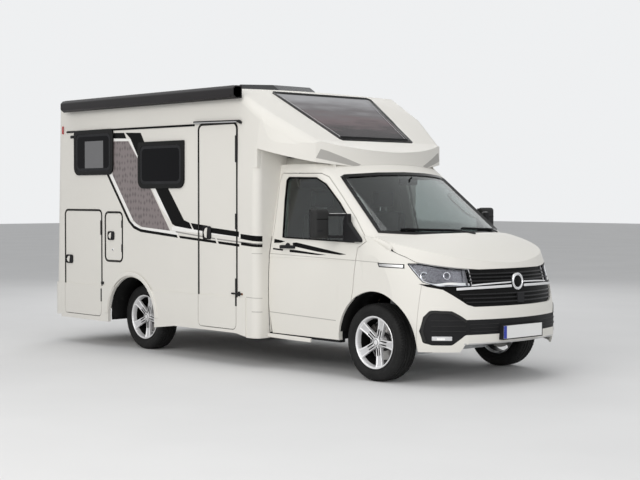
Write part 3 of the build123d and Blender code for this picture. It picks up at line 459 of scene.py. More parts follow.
def plain(name, colour, low, high, vary=0.06, patch=4.0, metal=0.0, grain=None, coat=0.0, specular=0.5):
    """Slow colour variation, roughness from low to high and an optional (scale, depth) grain."""
    n = Nodes(name)
    n.colour(n.noise(patch, 4.0), (0.3, shade(colour, 1 - vary)), (0.7, shade(colour, 1 + vary)))
    n.gloss(patch * 6, 3.0, low, high)
    n.set(Metallic=metal, Coat_Weight=coat, Coat_Roughness=0.06, Specular_IOR_Level=specular)
    if grain:
        n.bump(n.noise(grain[0], 2.0), grain[1])
    return n.material


def glass_like(name, colour, rough, ior, specular):
    n = Nodes(name)
    n.set(Base_Color=(*colour, 1.0), Roughness=rough, IOR=ior, Specular_IOR_Level=specular,
          Transmission_Weight=1.0)
    n.bump(n.noise(2.5, 1.0), 0.0006, 0.4)
    return n.material


def tyre_material():
    n = Nodes("tyre")
    n.colour(n.noise(9.0, 4.0), (0.3, 0.01), (0.75, 0.018))
    n.gloss(40.0, 3.0, 0.6, 0.8)
    n.set(Specular_IOR_Level=0.2)
    n.bump(n.noise(700.0, 2.0), 0.00015)
    return n.material


def weave_material(name, colour, second, scale):
    """A woven cloth: crossed thread waves, with a slow change of shade."""
    n = Nodes(name)
    waves = []
    for way in "XYZ":
        wave = n.add("ShaderNodeTexWave", wave_type="BANDS", bands_direction=way, Scale=scale, Distortion=0.6)
        n.link(n.coords, wave.inputs["Vector"])
        waves.append(wave.outputs["Fac"])
    woven = n.math("MULTIPLY", n.math("ADD", waves[0], waves[1]), waves[2])
    n.colour(n.math("MULTIPLY", woven, n.span(n.noise(12.0, 4.0), 0.7, 1.1)), (0.1, colour), (0.9, second))
    n.set(Roughness=0.85, Sheen_Weight=0.25)
    n.bump(woven, 0.0006, 0.7)
    return n.material


def pattern_material():
    """Grey-brown foil with rows of small darker lozenges."""
    n = Nodes("patterned_foil")
    dots = n.add("ShaderNodeTexVoronoi", feature="F1", distance="MINKOWSKI", Scale=18.0, Randomness=0.42,
                 Exponent=1.1)
    n.link(n.stretched((1.15, 1.0, 0.8)), dots.inputs["Vector"])
    mix = n.add("ShaderNodeMix", data_type="RGBA", blend_type="MULTIPLY")
    mix.inputs["Factor"].default_value = 0.5
    spots = n.ramp(dots.outputs["Distance"], (0.24, (0.12, 0.1, 0.1)), (0.52, (0.215, 0.182, 0.182)))
    n.link(spots, mix.inputs["A"])
    n.link(n.ramp(n.noise(5.0), (0.3, 0.9), (0.7, 1.0)), mix.inputs["B"])
    n.link(mix.outputs["Result"], n.inputs["Base Color"])
    n.set(Roughness=0.38)
    return n.material


def window_material(name, blind):
    """Dark acrylic that shows a paler blind inside its frame where blind is (x, z) ranges."""
    n = Nodes(name)
    split = n.add("ShaderNodeSeparateXYZ")
    n.link(n.coords, split.inputs["Vector"])
    spans = []
    for output, (low, high) in zip("XZ", blind):
        above = n.math("GREATER_THAN", split.outputs[output], low)
        spans.append(n.math("MULTIPLY", above, n.math("LESS_THAN", split.outputs[output], high)))
    n.colour(n.math("MULTIPLY", *spans), (0.2, (0.003, 0.003, 0.004)), (0.8, (0.17, 0.17, 0.175)))
    n.gloss(3.0, 2.0, 0.06, 0.12)
    n.set(Specular_IOR_Level=0.06)
    return n.material


def painted_reflection_roof_window_material():
    """Dark acrylic with a painted reflection: paler towards its top edge, with soft warm streaks, black at its
    foot.
    """
    n = Nodes("painted_reflection_roof_window")
    split = n.add("ShaderNodeSeparateXYZ")
    n.link(n.coords, split.inputs["Vector"])
    # painted reflection: paler with height, broken by soft warm streaks
    height = n.span(split.outputs["Z"], 0.0, 1.0, 2.12, 2.6)
    reflection_streaks = n.span(n.noise(5.0, 3.0, (1.0, 0.35, 3.0)), -0.35, 0.35, 0.3, 0.7)
    n.colour(n.math("ADD", height, n.math("MULTIPLY", reflection_streaks, 0.35)),
             (0.05, (0.006, 0.005, 0.006)), (0.22, (0.03, 0.024, 0.025)), (0.42, (0.115, 0.08, 0.085)),
             (0.62, (0.12, 0.11, 0.115)), (0.95, (0.3, 0.3, 0.31)))
    n.gloss(3.0, 2.0, 0.1, 0.18)
    n.set(Specular_IOR_Level=0.12)
    return n.material


# name, colour, lowest and highest roughness
paint = plain("body_paint", (0.74, 0.722, 0.675), 0.4, 0.48, 0.012, 1.4, grain=(900.0, 0.00002), specular=0.3)
panel_paint = plain("coach_panel", (0.73, 0.712, 0.668), 0.42, 0.52, 0.015, 1.1, grain=(300.0, 0.00004),
                    specular=0.25)
stripe_white = plain("stripe_white", (0.86, 0.85, 0.83), 0.25, 0.32, 0.01, 3.0)
stripe_black = plain("stripe_black", 0.004, 0.35, 0.45, 0.2, 3.0, specular=0.06)
stripe_grey = plain("stripe_grey", (0.3, 0.29, 0.28), 0.3, 0.4, 0.04, 3.0)
rubber = plain("rubber_seal", 0.006, 0.55, 0.75, 0.2, 9.0, grain=(500.0, 0.0001), specular=0.08)
black_plastic = plain("black_plastic", (0.013, 0.013, 0.014), 0.45, 0.6, 0.15, 6.0, grain=(1400.0, 0.00012),
                      specular=0.14)
gloss_black = plain("gloss_black", 0.005, 0.14, 0.22, 0.1, 3.0, specular=0.12)
dark_trim = plain("dark_trim", (0.018, 0.018, 0.02), 0.55, 0.7, 0.12, 6.0, grain=(900.0, 0.0002),
                  specular=0.18)
anthracite = plain("anthracite_metal", (0.022, 0.02, 0.021), 0.28, 0.38, 0.1, 3.0, 0.25, (700.0, 0.00005),
                   specular=0.2)
chrome = plain("chrome_trim", (0.82, 0.82, 0.83), 0.05, 0.12, 0.03, 8.0, 1.0)
satin_silver = plain("satin_silver", 0.52, 0.32, 0.42, 0.04, 5.0, 0.7)
alloy = plain("alloy", (0.8, 0.8, 0.81), 0.25, 0.36, 0.03, 7.0, 0.35, coat=0.2)
# a darker alloy: painted shade on the spokes' floors, and the grey of the projector backs and fog lamps
alloy_shade = plain("alloy_shade", (0.6, 0.6, 0.61), 0.3, 0.42, 0.05, 9.0, 0.3)
bright_trim = plain("bright_trim", (0.84, 0.84, 0.85), 0.14, 0.22, 0.02, 8.0, 0.3)
grille_black = plain("grille_black", 0.007, 0.4, 0.52, 0.1, 6.0, specular=0.06)
grille_bar = plain("grille_bar", (0.015, 0.015, 0.016), 0.25, 0.35, 0.1, 6.0, specular=0.22)
surround_grey = plain("surround_grey", 0.026, 0.5, 0.6, 0.08, 6.0, specular=0.16)
# painted shade along the door's creases; also a grey line at the corner fairing's joint
crease_shade_and_seam_grey = plain("crease_shade_and_seam_grey", (0.42, 0.405, 0.38), 0.45, 0.5, 0.02, 6.0, specular=0.2)
lamp_inner = plain("lamp_inner", (0.17, 0.17, 0.185), 0.22, 0.34, 0.12, 9.0, 0.2, specular=0.3)
awning_cap = plain("awning_cap", (0.05, 0.048, 0.05), 0.4, 0.5, 0.1, 5.0, specular=0.25)
facet_shade = plain("facet_shade", (0.4, 0.388, 0.366), 0.45, 0.5, 0.02, 6.0, specular=0.2)
smoke_dome = plain("smoke_dome", (0.045, 0.047, 0.05), 0.14, 0.2, 0.08, 3.0, specular=0.3)
lamp_pale = plain("lamp_pale", (0.78, 0.79, 0.82), 0.2, 0.3, 0.03, 9.0)
alloy_dark = plain("alloy_dark", (0.03, 0.03, 0.032), 0.3, 0.45, 0.1, 7.0, 0.4)
steel = plain("galvanised_steel", (0.42, 0.43, 0.44), 0.35, 0.6, 0.16, 14.0, 0.9, (60.0, 0.0002))
disc_steel = plain("disc_steel", (0.38, 0.37, 0.36), 0.25, 0.4, 0.08, 20.0, 1.0)
cast_metal = plain("cast_metal", (0.11, 0.105, 0.1), 0.55, 0.75, 0.25, 12.0, 0.6, (240.0, 0.0004))
amber = plain("amber_lens", (0.2, 0.085, 0.035), 0.12, 0.2, 0.05, coat=0.5)
amber_deep = plain("amber_deep", (0.62, 0.2, 0.02), 0.12, 0.2, 0.05, coat=0.5)
red_lens = plain("lamp_red", (0.42, 0.012, 0.015), 0.1, 0.18, 0.08, 20.0, coat=0.6)
plate_white = plain("plate_white", (0.8, 0.8, 0.79), 0.3, 0.4, 0.02)
plate_blue = plain("plate_blue", (0.012, 0.035, 0.36), 0.3, 0.4, 0.05)
lit_white = plain("lit_white", (0.9, 0.9, 0.88), 0.15, 0.25, 0.02)
board = plain("floor_board", (0.16, 0.12, 0.085), 0.4, 0.55, 0.12, 2.0, grain=(90.0, 0.0002))
blind_grey = plain("blind_grey", (0.18, 0.18, 0.185), 0.5, 0.6, 0.05)
tinted = plain("tinted_glass", (0.003, 0.003, 0.004), 0.06, 0.12, 0.2, 1.5, specular=0.08)
clear_glass = glass_like("clear_glass", (0.44, 0.49, 0.48), 0.02, 1.45, 0.15)
lamp_glass = glass_like("lamp_glass", (0.95, 0.96, 0.98), 0.01, 1.12, 0.5)
tyre_rubber = tyre_material()
seat_cloth = weave_material("seat_fabric", (0.03, 0.03, 0.033), (0.075, 0.073, 0.07), 260.0)
seat_centre = weave_material("seat_centre", (0.06, 0.058, 0.055), (0.14, 0.135, 0.125), 150.0)
foil = pattern_material()
painted_reflection_roof_window = painted_reflection_roof_window_material()

# the solids that aren't named here are tyres and rims
NODE_LOOKS = (
    (paint, "bonnet fenders front_bumper cab_shell cab_posts cab_door_left cab_door_right"),
    (panel_paint, "side_wall_left side_wall_right rear_wall roof_panel cab_cap habitation_door service_flap "
                  "garage_door_left garage_door_right skirts rear_bumper corner_fairings"),
    (black_plastic, "bumper_trim wheel_housings entry_step mirror_left mirror_right fuel_tank"),
    (grille_black, "grille"), (lamp_glass, "headlamps"), (painted_reflection_roof_window, "panorama_window"),
    (tinted, "side_windows"), (red_lens, "tail_lamps"), (board, "floor_panel"), (seat_cloth, "cab_seats"),
    (steel, "chassis_frame front_axle rear_axle"),
    (dark_trim, "cab_floor dashboard steering_wheel steering_column"),
    (clear_glass, "windscreen door_glass_left door_glass_right"),
    (anthracite, "awning"), (smoke_dome, "roof_light"),
    (cast_metal, "engine_block knuckle_left knuckle_right"),
)
# edges sharper than this many degrees stay sharp
SHARP = 28
CAP_SHARP = 44
look_of = {node: look for look, names in NODE_LOOKS for node in names.split()}
for node_name, obj in nodes.items():
    obj.data.materials.clear()
    obj.data.materials.append(look_of.get(node_name, tyre_rubber if node_name.startswith("tyre") else alloy))
    obj.data.shade_smooth()
    obj.data.set_sharp_from_angle(angle=math.radians(CAP_SHARP if node_name == "cab_cap" else SHARP))


# ---------------------------------------------------------------- living body: bands and stripes
WALL = ("side_wall_right", "habitation_door", "service_flap", "garage_door_right", "corner_fairings",
        "skirts")
DOOR_SKIN = ("cab_door_right", "corner_fairings", "fenders")
# material, push, nodes, then the convex outlines as (length from the axle, height)
BANDS = (
    (stripe_black, 0.0009, WALL, {
        "top_band_rear": ((-3.68, 2.266), (-3.487, 2.261), (-3.448, 2.201), (-3.68, 2.208)),
        "top_band_front": ((-3.465, 2.261), (-3.191, 2.251), (-3.09, 2.1), (-3.372, 2.196)),
        "upper_diagonal": ((-3.375, 2.198), (-3.09, 2.101), (-3.16, 2.0), (-3.215, 1.975)),
    }),
    (stripe_white, 0.0007, WALL, {
        "white_top": ((-3.68, 2.206), (-3.385, 2.196), (-3.4, 2.176), (-3.68, 2.18)),
        "white_left_diagonal": ((-3.775, 1.85), (-3.72, 1.85), (-3.325, 1.352), (-3.375, 1.352)),
        "white_left_turn": ((-3.377, 1.355), (-3.325, 1.355), (-3.262, 1.316), (-3.17, 1.285), (-3.18, 1.262),
                            (-3.3, 1.29)),
        "white_bottom": ((-3.19, 1.288), (-2.56, 1.25), (-2.56, 1.214), (-3.19, 1.262)),
    }),
    (stripe_white, 0.0008, WALL, {
        "white_upper_diagonal": ((-3.412, 2.193), (-3.372, 2.193), (-3.205, 2.0), (-3.205, 1.945)),
        "white_lower_diagonal": ((-3.005, 1.69), (-2.945, 1.69), (-2.662, 1.34), (-2.615, 1.303),
                                 (-2.66, 1.262), (-2.69, 1.28)),
        "white_low_line": ((-2.665, 1.298), (-2.6, 1.306), (-1.52, 1.236), (-1.52, 1.213), (-2.655, 1.262)),
    }),
    (foil, 0.0006, WALL, {
        "foil_top": ((-3.7, 2.179), (-3.412, 2.171), (-3.2, 1.94), (-3.2, 1.815), (-3.7, 1.815)),
        "foil_low": ((-3.692, 1.815), (-3.125, 1.815), (-2.685, 1.251), (-3.17, 1.287), (-3.262, 1.318),
                     (-3.325, 1.354)),
    }),
    (stripe_black, 0.001, WALL, {
        "left_line": ((-3.815, 1.838), (-3.773, 1.838), (-3.378, 1.345), (-3.408, 1.33)),
        "left_turn_a": ((-3.41, 1.334), (-3.376, 1.345), (-3.298, 1.296), (-3.316, 1.268)),
        "left_turn_b": ((-3.318, 1.27), (-3.297, 1.297), (-3.188, 1.264), (-3.196, 1.236)),
        "bottom_line_a": ((-3.197, 1.265), (-3.197, 1.236), (-2.562, 1.19), (-2.578, 1.219)),
        "bottom_line_b": ((-2.54, 1.212), (-2.525, 1.188), (-1.945, 1.15), (-1.957, 1.176)),
        "bottom_line_c": ((-1.925, 1.173), (-1.912, 1.148), (-1.6, 1.128), (-1.6, 1.154)),
        "bottom_line_d": ((-1.575, 1.172), (-1.575, 1.144), (-1.34, 1.128), (-1.34, 1.158)),
        "lower_diagonal": ((-2.95, 1.7), (-2.735, 1.7), (-2.457, 1.366), (-2.6, 1.309), (-2.65, 1.322)),
        "band_foot": ((-2.62, 1.3075), (-2.455, 1.3665), (-2.372, 1.343), (-2.326, 1.279)),
        "band_run_a": ((-2.35, 1.34), (-2.3, 1.277), (-2.085, 1.258), (-2.085, 1.318)),
        "band_run_b": ((-2.06, 1.303), (-2.06, 1.251), (-1.605, 1.22), (-1.605, 1.27)),
        "band_run_c": ((-1.582, 1.25), (-1.582, 1.203), (-1.34, 1.18), (-1.34, 1.232)),
    }),
    (stripe_grey, 0.001, WALL, {
        "thin_line_a": ((-2.6, 1.256), (-2.59, 1.243), (-1.96, 1.188), (-1.97, 1.201)),
        "thin_line_b": ((-1.942, 1.199), (-1.932, 1.186), (-1.345, 1.15), (-1.345, 1.163)),
    }),
    (stripe_black, 0.001, DOOR_SKIN, {
        "door_run_a": ((-1.306, 1.206), (-1.306, 1.168), (-1.21, 1.172), (-1.152, 1.186), (-1.201, 1.194)),
        "door_run_b": ((-1.045, 1.176), (-0.99, 1.18), (-0.319, 1.092), (-0.4, 1.085), (-0.7, 1.105),
                       (-1.035, 1.145)),
        "door_low_a": ((-1.309, 1.122), (-1.309, 1.107), (-1.165, 1.099), (-1.165, 1.113)),
        "door_low_b": ((-1.075, 1.113), (-0.98, 1.11), (-0.57, 1.079), (-0.7, 1.075), (-1.07, 1.09)),
    }),
    # painted shade along the door's belt and sill creases
    (crease_shade_and_seam_grey, 0.0006, DOOR_SKIN, {
        "belt_crease": ((-1.42, 1.073), (-1.42, 1.068), (0.1, 1.034), (0.1, 1.039)),
        "sill_crease": ((-1.42, 0.53), (-1.42, 0.523), (-0.44, 0.498), (-0.44, 0.505)),
    }),
    # a grey line at the corner fairing's joint
    (crease_shade_and_seam_grey, 0.0006, ("corner_fairings",), {
        "fairing_joint": ((-1.5, 0.662), (-1.5, 0.656), (-1.35, 0.65), (-1.35, 0.656)),
    }),
)
RIGHT_ONLY = ("habitation_door", "service_flap")
# how squarely a face has to look outwards to carry a band
BAND_FACING = 0.03
for look, push, on, outlines in BANDS:
    left_on = [node.replace("right", "left") for node in on if node not in RIGHT_ONLY]
    for name, outline in outlines.items():
        skin(name, on, outline, "y", -1, look, push, BAND_FACING)
        skin(name + "_left", left_on, outline, "y", 1, look, push, BAND_FACING)


# ---------------------------------------------------------------- living body: doors and windows
# x range from the axle, z range, corner radius
HAB_DOOR = ((-2.225, -1.634), (0.34, 2.296), 0.06)
GARAGE = ((-4.622, -3.903), (0.32, 1.455), 0.055)
FLAP = ((-3.84, -3.52), (0.918, 1.435), 0.055)


def grown(opening, by):
    x, z, r = opening
    return rounded((x[0] - by, x[1] + by), (z[0] - by, z[1] + by), r)


def seals(name, opening, side, leaf, end=""):
    """Black rubber round an opening in the wall, and the lip inside the gap, on the leaf itself."""
    x, z, r = opening
    ring(name + "_seal" + end, grown((x, z, r + 0.0085), 0.0085), grown(opening, 0.0005), WALL_Y - 0.012,
         WALL_Y + 0.0035, rubber, side=side, bevel=0.002)
    ring(name + "_lip" + end, grown((x, z, r - 0.004), -0.0042), grown((x, z, r - 0.012), -0.012),
         WALL_Y - 0.01, WALL_Y + 0.003, rubber, leaf, side, bevel=0.0015)


def hinge_bar(name, x, z, side, width, knuckles=True):
    """A slim black hinge, with round knuckles on the seam if asked."""
    low, high = z
    slab(name, rounded((x - width / 2, x + width / 2), z, 0.005), WALL_Y + 0.001, WALL_Y + 0.011,
         black_plastic, side=side, bevel=0.003)
    if knuckles:
        for k, ends in enumerate(((low + 0.012, low + 0.05), (high - 0.05, high - 0.012))):
            path = [spot(x + 0.004, WALL_Y + 0.009, height, side) for height in ends]
            tube(name + "_knuckle_%d" % k, path, 0.0055, black_plastic, up=(1, 0, 0))


def pull_handle(name, x, z, side, body):
    """A recessed black cup with a pale grip, as on the living-space door and the flaps."""
    cup = rounded((x[0] + 0.012, x[1] - 0.012), (z[0] + 0.014, z[1] - 0.014), 0.014)
    ring(name + "_rim", rounded(x, z, 0.022), cup, WALL_Y + 0.0005, WALL_Y + 0.01, black_plastic, body, side,
         bevel=0.003)
    floor_outline = rounded((x[0] + 0.01, x[1] - 0.01), (z[0] + 0.012, z[1] - 0.012), 0.013)
    slab(name + "_cup", floor_outline, WALL_Y + 0.0005, WALL_Y + 0.002, dark_trim, body, side)
    middle = (x[0] + x[1]) / 2
    half = (x[1] - x[0]) / 2
    grip = [(middle - half * 0.45, z[0] + 0.02), (middle - half * 0.05, z[0] + 0.012),
            (middle + half * 0.1, z[1] - 0.012), (middle - half * 0.35, z[1] - 0.02),
            (middle - half * 0.7, (z[0] + z[1]) / 2)]
    slab(name + "_grip", grip, WALL_Y + 0.0015, WALL_Y + 0.0125, panel_paint, body, side, bevel=0.004)


def hung_window(name, x, z, side, square_top):
    """A framed acrylic window: flat outer frame, sloping inner frame and a pane."""
    top_radii = (0.012, 0.03) if square_top else (0.045, 0.045)
    outer = rounded((x[0] - 0.014, x[1] + 0.014), (z[0] - 0.012, z[1] + 0.012), (0.085, 0.085, *top_radii))
    middle = grown((x, z, 0.06), -0.03)
    inner = grown((x, z, 0.045), -0.062)
    ring(name + "_frame", outer, middle, WALL_Y + 0.0005, WALL_Y + 0.016, gloss_black, side=side, bevel=0.004)
    ring(name + "_lip", middle, inner, WALL_Y + 0.002, WALL_Y + 0.0145, dark_trim, side=side, bevel=0.004)
    blind_z = (9.0, 9.1) if square_top else (z[0] + 0.045, z[1] - 0.11)
    look = window_material(name + "_acrylic", ((AXLE + x[0] + 0.205, AXLE + x[1] - 0.165), blind_z))
    slab(name + "_pane", inner, WALL_Y + 0.004, WALL_Y + 0.0142, look, side=side)


HAB_LEAF = "habitation_door_leaf"
FLAP_LEAF = "service_flap_leaf"
seals("hab_door", HAB_DOOR, -1, HAB_LEAF)
seals("flap", FLAP, -1, FLAP_LEAF)
for k, z in enumerate(((1.922, 2.175), (1.29, 1.44), (0.565, 0.828))):
    hinge_bar("hab_hinge_%d" % k, -1.64, z, -1, 0.028)
for k, z in enumerate(((1.27, 1.35), (1.02, 1.1))):
    hinge_bar("flap_hinge_%d" % k, -3.524, z, -1, 0.014, knuckles=False)
pull_handle("hab_handle", (-2.153, -2.024), (1.187, 1.314), -1, HAB_LEAF)
pull_handle("flap_handle", (-3.787, -3.668), (1.141, 1.233), -1, FLAP_LEAF)
lathe("flap_lock", [(0.0, 0.006), (0.01, 0.006), (0.013, 0.0)], spot(-3.7, -WALL_Y, 1.04), outward(-1),
      chrome, FLAP_LEAF, 24)

for tag, side in SIDES:
    leaf = "garage_door_" + tag + "_leaf"
    seals("garage", GARAGE, side, leaf, "_" + tag)
    for k, z in enumerate(((1.19, 1.345), (0.48, 0.62))):
        hinge_bar("garage_hinge_%s_%d" % (tag, k), -3.908, z, side, 0.026)
    pull_handle("garage_handle_" + tag, (-4.6, -4.465), (0.868, 0.962), side, leaf)
    block("garage_catch_" + tag, spot(-3.89, WALL_Y + 0.005, 0.68, side), (0.05, 0.01, 0.03), black_plastic)
    hung_window("rear_window_" + tag, (-4.41, -3.69), (1.84, 2.3), side, False)
    hung_window("front_window_" + tag, (-3.212, -2.458), (1.693, 2.143), side, True)
    strip("trim_line_" + tag, [spot(-4.584, 1.1022, 2.304, side), spot(-2.285, 1.1022, 2.295, side)], 0.006,
          0.02, stripe_black, bevel=0.002)
    block("red_marker_" + tag, spot(-4.655, 1.1065, 2.327, side), (0.024, 0.014, 0.086), red_lens, bevel=0.006)
    block("window_bumper_" + tag, spot(-4.468, 1.104, 2.248, side), (0.07, 0.01, 0.03), black_plastic)
    block("amber_marker_" + tag, spot(-1.562, WALL_Y + 0.003, 0.683, side), (0.03, 0.008, 0.02), amber)

# door holder beside the living-space door, drip rail over it
block("door_holder", spot(-1.612, -1.108, 0.684), (0.1, 0.012, 0.016), black_plastic)
block("door_holder_foot", spot(-1.6, -1.104, 0.684), (0.03, 0.008, 0.044), black_plastic, bevel=0.003)
block("door_holder_catch", spot(-1.69, -1.108, 0.684), (0.04, 0.012, 0.016), black_plastic, HAB_LEAF)
DRIP_RAIL = ((-2.275, 2.33), (-1.585, 2.318), (-1.556, 2.3), (-1.565, 2.28), (-1.6, 2.296), (-2.275, 2.308))
slab("drip_rail", DRIP_RAIL, -1.126, -1.0995, black_plastic, bevel=0.004)
strip("drip_rail_light", [spot(-2.26, -1.127, 2.312), spot(-1.61, -1.127, 2.301)], 0.004, 0.01, satin_silver)

# awning: end caps, slot and lead rail
AWNING_END = ((-1.101, 2.522), (-1.17, 2.514), (-1.2105, 2.544), (-1.2105, 2.606), (-1.182, 2.6355),
              (-1.101, 2.6355))
awning_lo, awning_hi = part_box("awning")
for k, x in enumerate((awning_lo.x - AXLE, awning_hi.x - 0.035 - AXLE)):
    slab("awning_cap_%d" % k, AWNING_END, x, x + 0.035, awning_cap, bevel=0.01, segments=4, axis="x")


def along_awning(name, inset, y, z, width, height, material, bevel=0.0):
    path = [Vector((awning_lo.x + inset, y, z)), Vector((awning_hi.x - inset, y, z))]
    strip(name, path, width, height, material, bevel=bevel)


along_awning("awning_lead_rail", 0.04, -1.2065, 2.545, 0.01, 0.036, anthracite, 0.004)
along_awning("awning_slot", 0.04, -1.2108, 2.566, 0.002, 0.005, stripe_black)
along_awning("awning_top_lip", 0.03, -1.15, 2.6375, 0.05, 0.003, anthracite, 0.001)

# ---------------------------------------------------------------- over-cab moulding
# the panorama window's corners, and the outline of the painted shade that stands in for the recess at the
# moulding's lower corners, as (y, height)
PANORAMA = ((-0.48, 2.121), (0.48, 2.121), (0.66, 2.605), (-0.66, 2.605))
CAP_FACET_SHADE = ((0.832, 1.952), (0.793, 2.034), (0.729, 2.015), (0.418, 1.894), (0.47, 1.875))
CAP_NODES = ("cab_cap", "panorama_window", "roof_panel")
CAP_UP = (0.75, 0, 0.66)


def cap_strip(name, ends, width, material, lift=0.001):
    """A thin strip on the sloping moulding between two (y, z) points seen from the front."""
    (y0, z0), (y1, z1) = ends
    points = [(y0 + (y1 - y0) * s / 14, z0 + (z1 - z0) * s / 14) for s in range(15)]
    strip(name, front_line(points, CAP_NODES, lift, 0.003), width, 0.003, material, up=CAP_UP, bevel=0.001)


# the frame's corners lie a little inside the window's; its edges stop just short of them
FRAME_INSET = 0.004
CORNER_SHARE = 0.02
FRAME_STEPS = 13
panorama_foot = PANORAMA[0][1]
corners = [(y - math.copysign(FRAME_INSET, y), z + (FRAME_INSET if z == panorama_foot else -FRAME_INSET))
           for y, z in PANORAMA]
path = []
for (y0, z0), (y1, z1) in zip(corners, corners[1:] + corners[:1]):
    for s in range(FRAME_STEPS + 1):
        t = CORNER_SHARE + (1 - 2 * CORNER_SHARE) * s / FRAME_STEPS
        path.append(front_point(y0 + (y1 - y0) * t, z0 + (z1 - z0) * t, CAP_NODES, 0.001, 0.003))
strip("panorama_frame", path, 0.034, 0.006, gloss_black, closed=True, up=CAP_UP, bevel=0.002)
cap_strip("panorama_foot_band", ((-0.455, 2.142), (0.455, 2.142)), 0.06, stripe_black)
cap_strip("panorama_foot_line", ((-0.455, 2.163), (0.455, 2.163)), 0.006, satin_silver, 0.002)
for tag, side in SIDES:
    cap_strip("panorama_side_line_" + tag, ((side * 0.468, 2.15), (side * 0.632, 2.585)), 0.006, satin_silver)
    inner_ends = ((side * 0.438, 2.165), (side * 0.598, 2.58))
    cap_strip("panorama_inner_line_" + tag, inner_ends, 0.004, satin_silver)
    # painted shade for the recess at the moulding's lower corners; the moulding under it has no recess
    skin("cap_facet_shade_" + tag, ("cab_cap",), [(side * y, z) for y, z in CAP_FACET_SHADE], "x", 1, facet_shade,
         push=0.0006, facing=0.05)
    # soffit over the cab door, behind the moulding's lower edge
    soffit = [[spot(x, y, 1.824, side), spot(x, y - 0.01, 1.96, side)]
              for x, y in ((-1.395, 0.735), (-1.2, 0.735), (-1.0, 0.728), (-0.85, 0.7), (-0.75, 0.66))]
    sheet_through("cab_soffit_" + tag, soffit, paint)

# base of the roof light's smoked dome, and a vent further back
light_lo, light_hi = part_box("roof_light")
light_middle = (light_lo.x + light_hi.x) / 2
block("roof_light_base", (light_middle, 0.0, 2.643), (light_hi.x - light_lo.x + 0.02, 0.54, 0.018),
      panel_paint, bevel=0.006)
block("roof_vent_base", (-1.35, 0.0, 2.6405), (0.56, 0.56, 0.03), panel_paint, bevel=0.01)
block("roof_vent_lid", (-1.35, 0.0, 2.675), (0.5, 0.5, 0.045), satin_silver, bevel=0.018, segments=4)

# ---------------------------------------------------------------- cab lines, handles, mirrors
DOOR_WINDOW = ((-1.182, 1.224), (-1.22, 1.56), (-1.231, 1.75), (-1.206, 1.777), (-0.836, 1.771),
               (-0.706, 1.714), (-0.491, 1.543), (-0.301, 1.363), (-0.214, 1.256), (-0.241, 1.202))
MIRROR_FOOT = ((-0.345, 1.205), (-0.13, 1.205), (-0.13, 1.22), (-0.285, 1.372), (-0.285, 1.45), (-0.32, 1.45),
               (-0.345, 1.385))
for tag, side in SIDES:
    body = "door_" + tag
    door = ("cab_door_" + tag,)
    path = [side_point(x, z, side, spread=0.016) for x, z in walk(DOOR_WINDOW)]
    strip("door_window_seal_" + tag, path, 0.012, 0.022, rubber, body, closed=True, up=(0, side, 0.1),
          bevel=0.003)
    # door handle: black grip over a dark cup
    cup = side_point(-1.105, 1.137, side, door, spread=0.0)
    lathe("door_cup_" + tag, [(0.0, 0.001), (0.034, 0.001), (0.038, 0.0)], cup, outward(side), dark_trim,
          body, 28)
    grip = [cup + Vector((dx, side * dy, dz)) for dx, dy, dz in
            ((-0.105, 0.004, -0.004), (-0.07, 0.026, 0.0), (0.0, 0.032, 0.002), (0.07, 0.026, 0.002),
             (0.105, 0.004, 0.002))]
    strip("door_grip_" + tag, smooth_path(grip), 0.012, 0.03, black_plastic, body, bevel=0.004)
    # mirror: foot, two arms, head and glass
    slab("mirror_foot_" + tag, MIRROR_FOOT, 0.905, 0.9575, black_plastic, body, side, bevel=0.01, segments=4)
    for k, z in enumerate((1.439, 1.247)):
        arm = [spot(x, y, z, side) for x, y in ((-0.305, 0.93), (-0.375, 0.975), (-0.44, 1.05))]
        strip("mirror_arm_%s_%d" % (tag, k), smooth_path(arm), 0.026, 0.024, black_plastic, body, bevel=0.008,
              segments=3)
    strip("mirror_arm_edge_" + tag, [spot(-0.31, 0.948, 1.4525, side), spot(-0.425, 1.04, 1.4525, side)],
          0.01, 0.003, satin_silver, body)
    head = block("mirror_head_" + tag, spot(-0.47, 1.12, 1.362, side), (0.09, 0.17, 0.262), surround_grey,
                 body, 0.03, segments=5)
    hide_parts("mirror_" + tag)
    for name, x, y, z, size, look, bevel in (
            ("bezel", -0.5135, 1.12, 1.362, (0.004, 0.156, 0.246), dark_trim, 0.0015),
            ("glass", -0.515, 1.12, 1.394, (0.003, 0.144, 0.15), chrome, 0.001),
            ("low_glass", -0.515, 1.12, 1.276, (0.003, 0.144, 0.056), chrome, 0.001),
            ("indicator", -0.4262, 1.15, 1.3, (0.003, 0.07, 0.018), dark_trim, 0.001)):
        block("mirror_%s_%s" % (name, tag), spot(x, y, z, side), size, look, body, bevel)
    strip("mirror_groove_" + tag, [spot(-0.4256, 1.055, 1.402, side), spot(-0.4256, 1.188, 1.402, side)],
          0.002, 0.008, gloss_black, body)

# wipers at the foot of the windscreen
WIPER_NODES = ("windscreen", "cab_shell", "bonnet")
WIPER_UP = (0.7, 0, 0.7)
for k, (y0, y1) in enumerate(((0.62, 0.05), (0.02, -0.6))):
    blade = front_line([(y0 + (y1 - y0) * s / 8, 1.296 + 0.02 * s / 8) for s in range(9)], WIPER_NODES, 0.012,
                       0.004)
    strip("wiper_blade_%d" % k, blade, 0.012, 0.022, black_plastic, up=WIPER_UP, bevel=0.003)
    arm = [front_point(y, z, WIPER_NODES, lift) for y, z, lift in
           ((y0 + 0.04, 1.272, 0.014), (y0 - 0.12, 1.304, 0.026), ((y0 + y1) / 2, 1.308, 0.02))]
    strip("wiper_arm_%d" % k, smooth_path(arm), 0.014, 0.01, black_plastic, up=WIPER_UP, bevel=0.003)

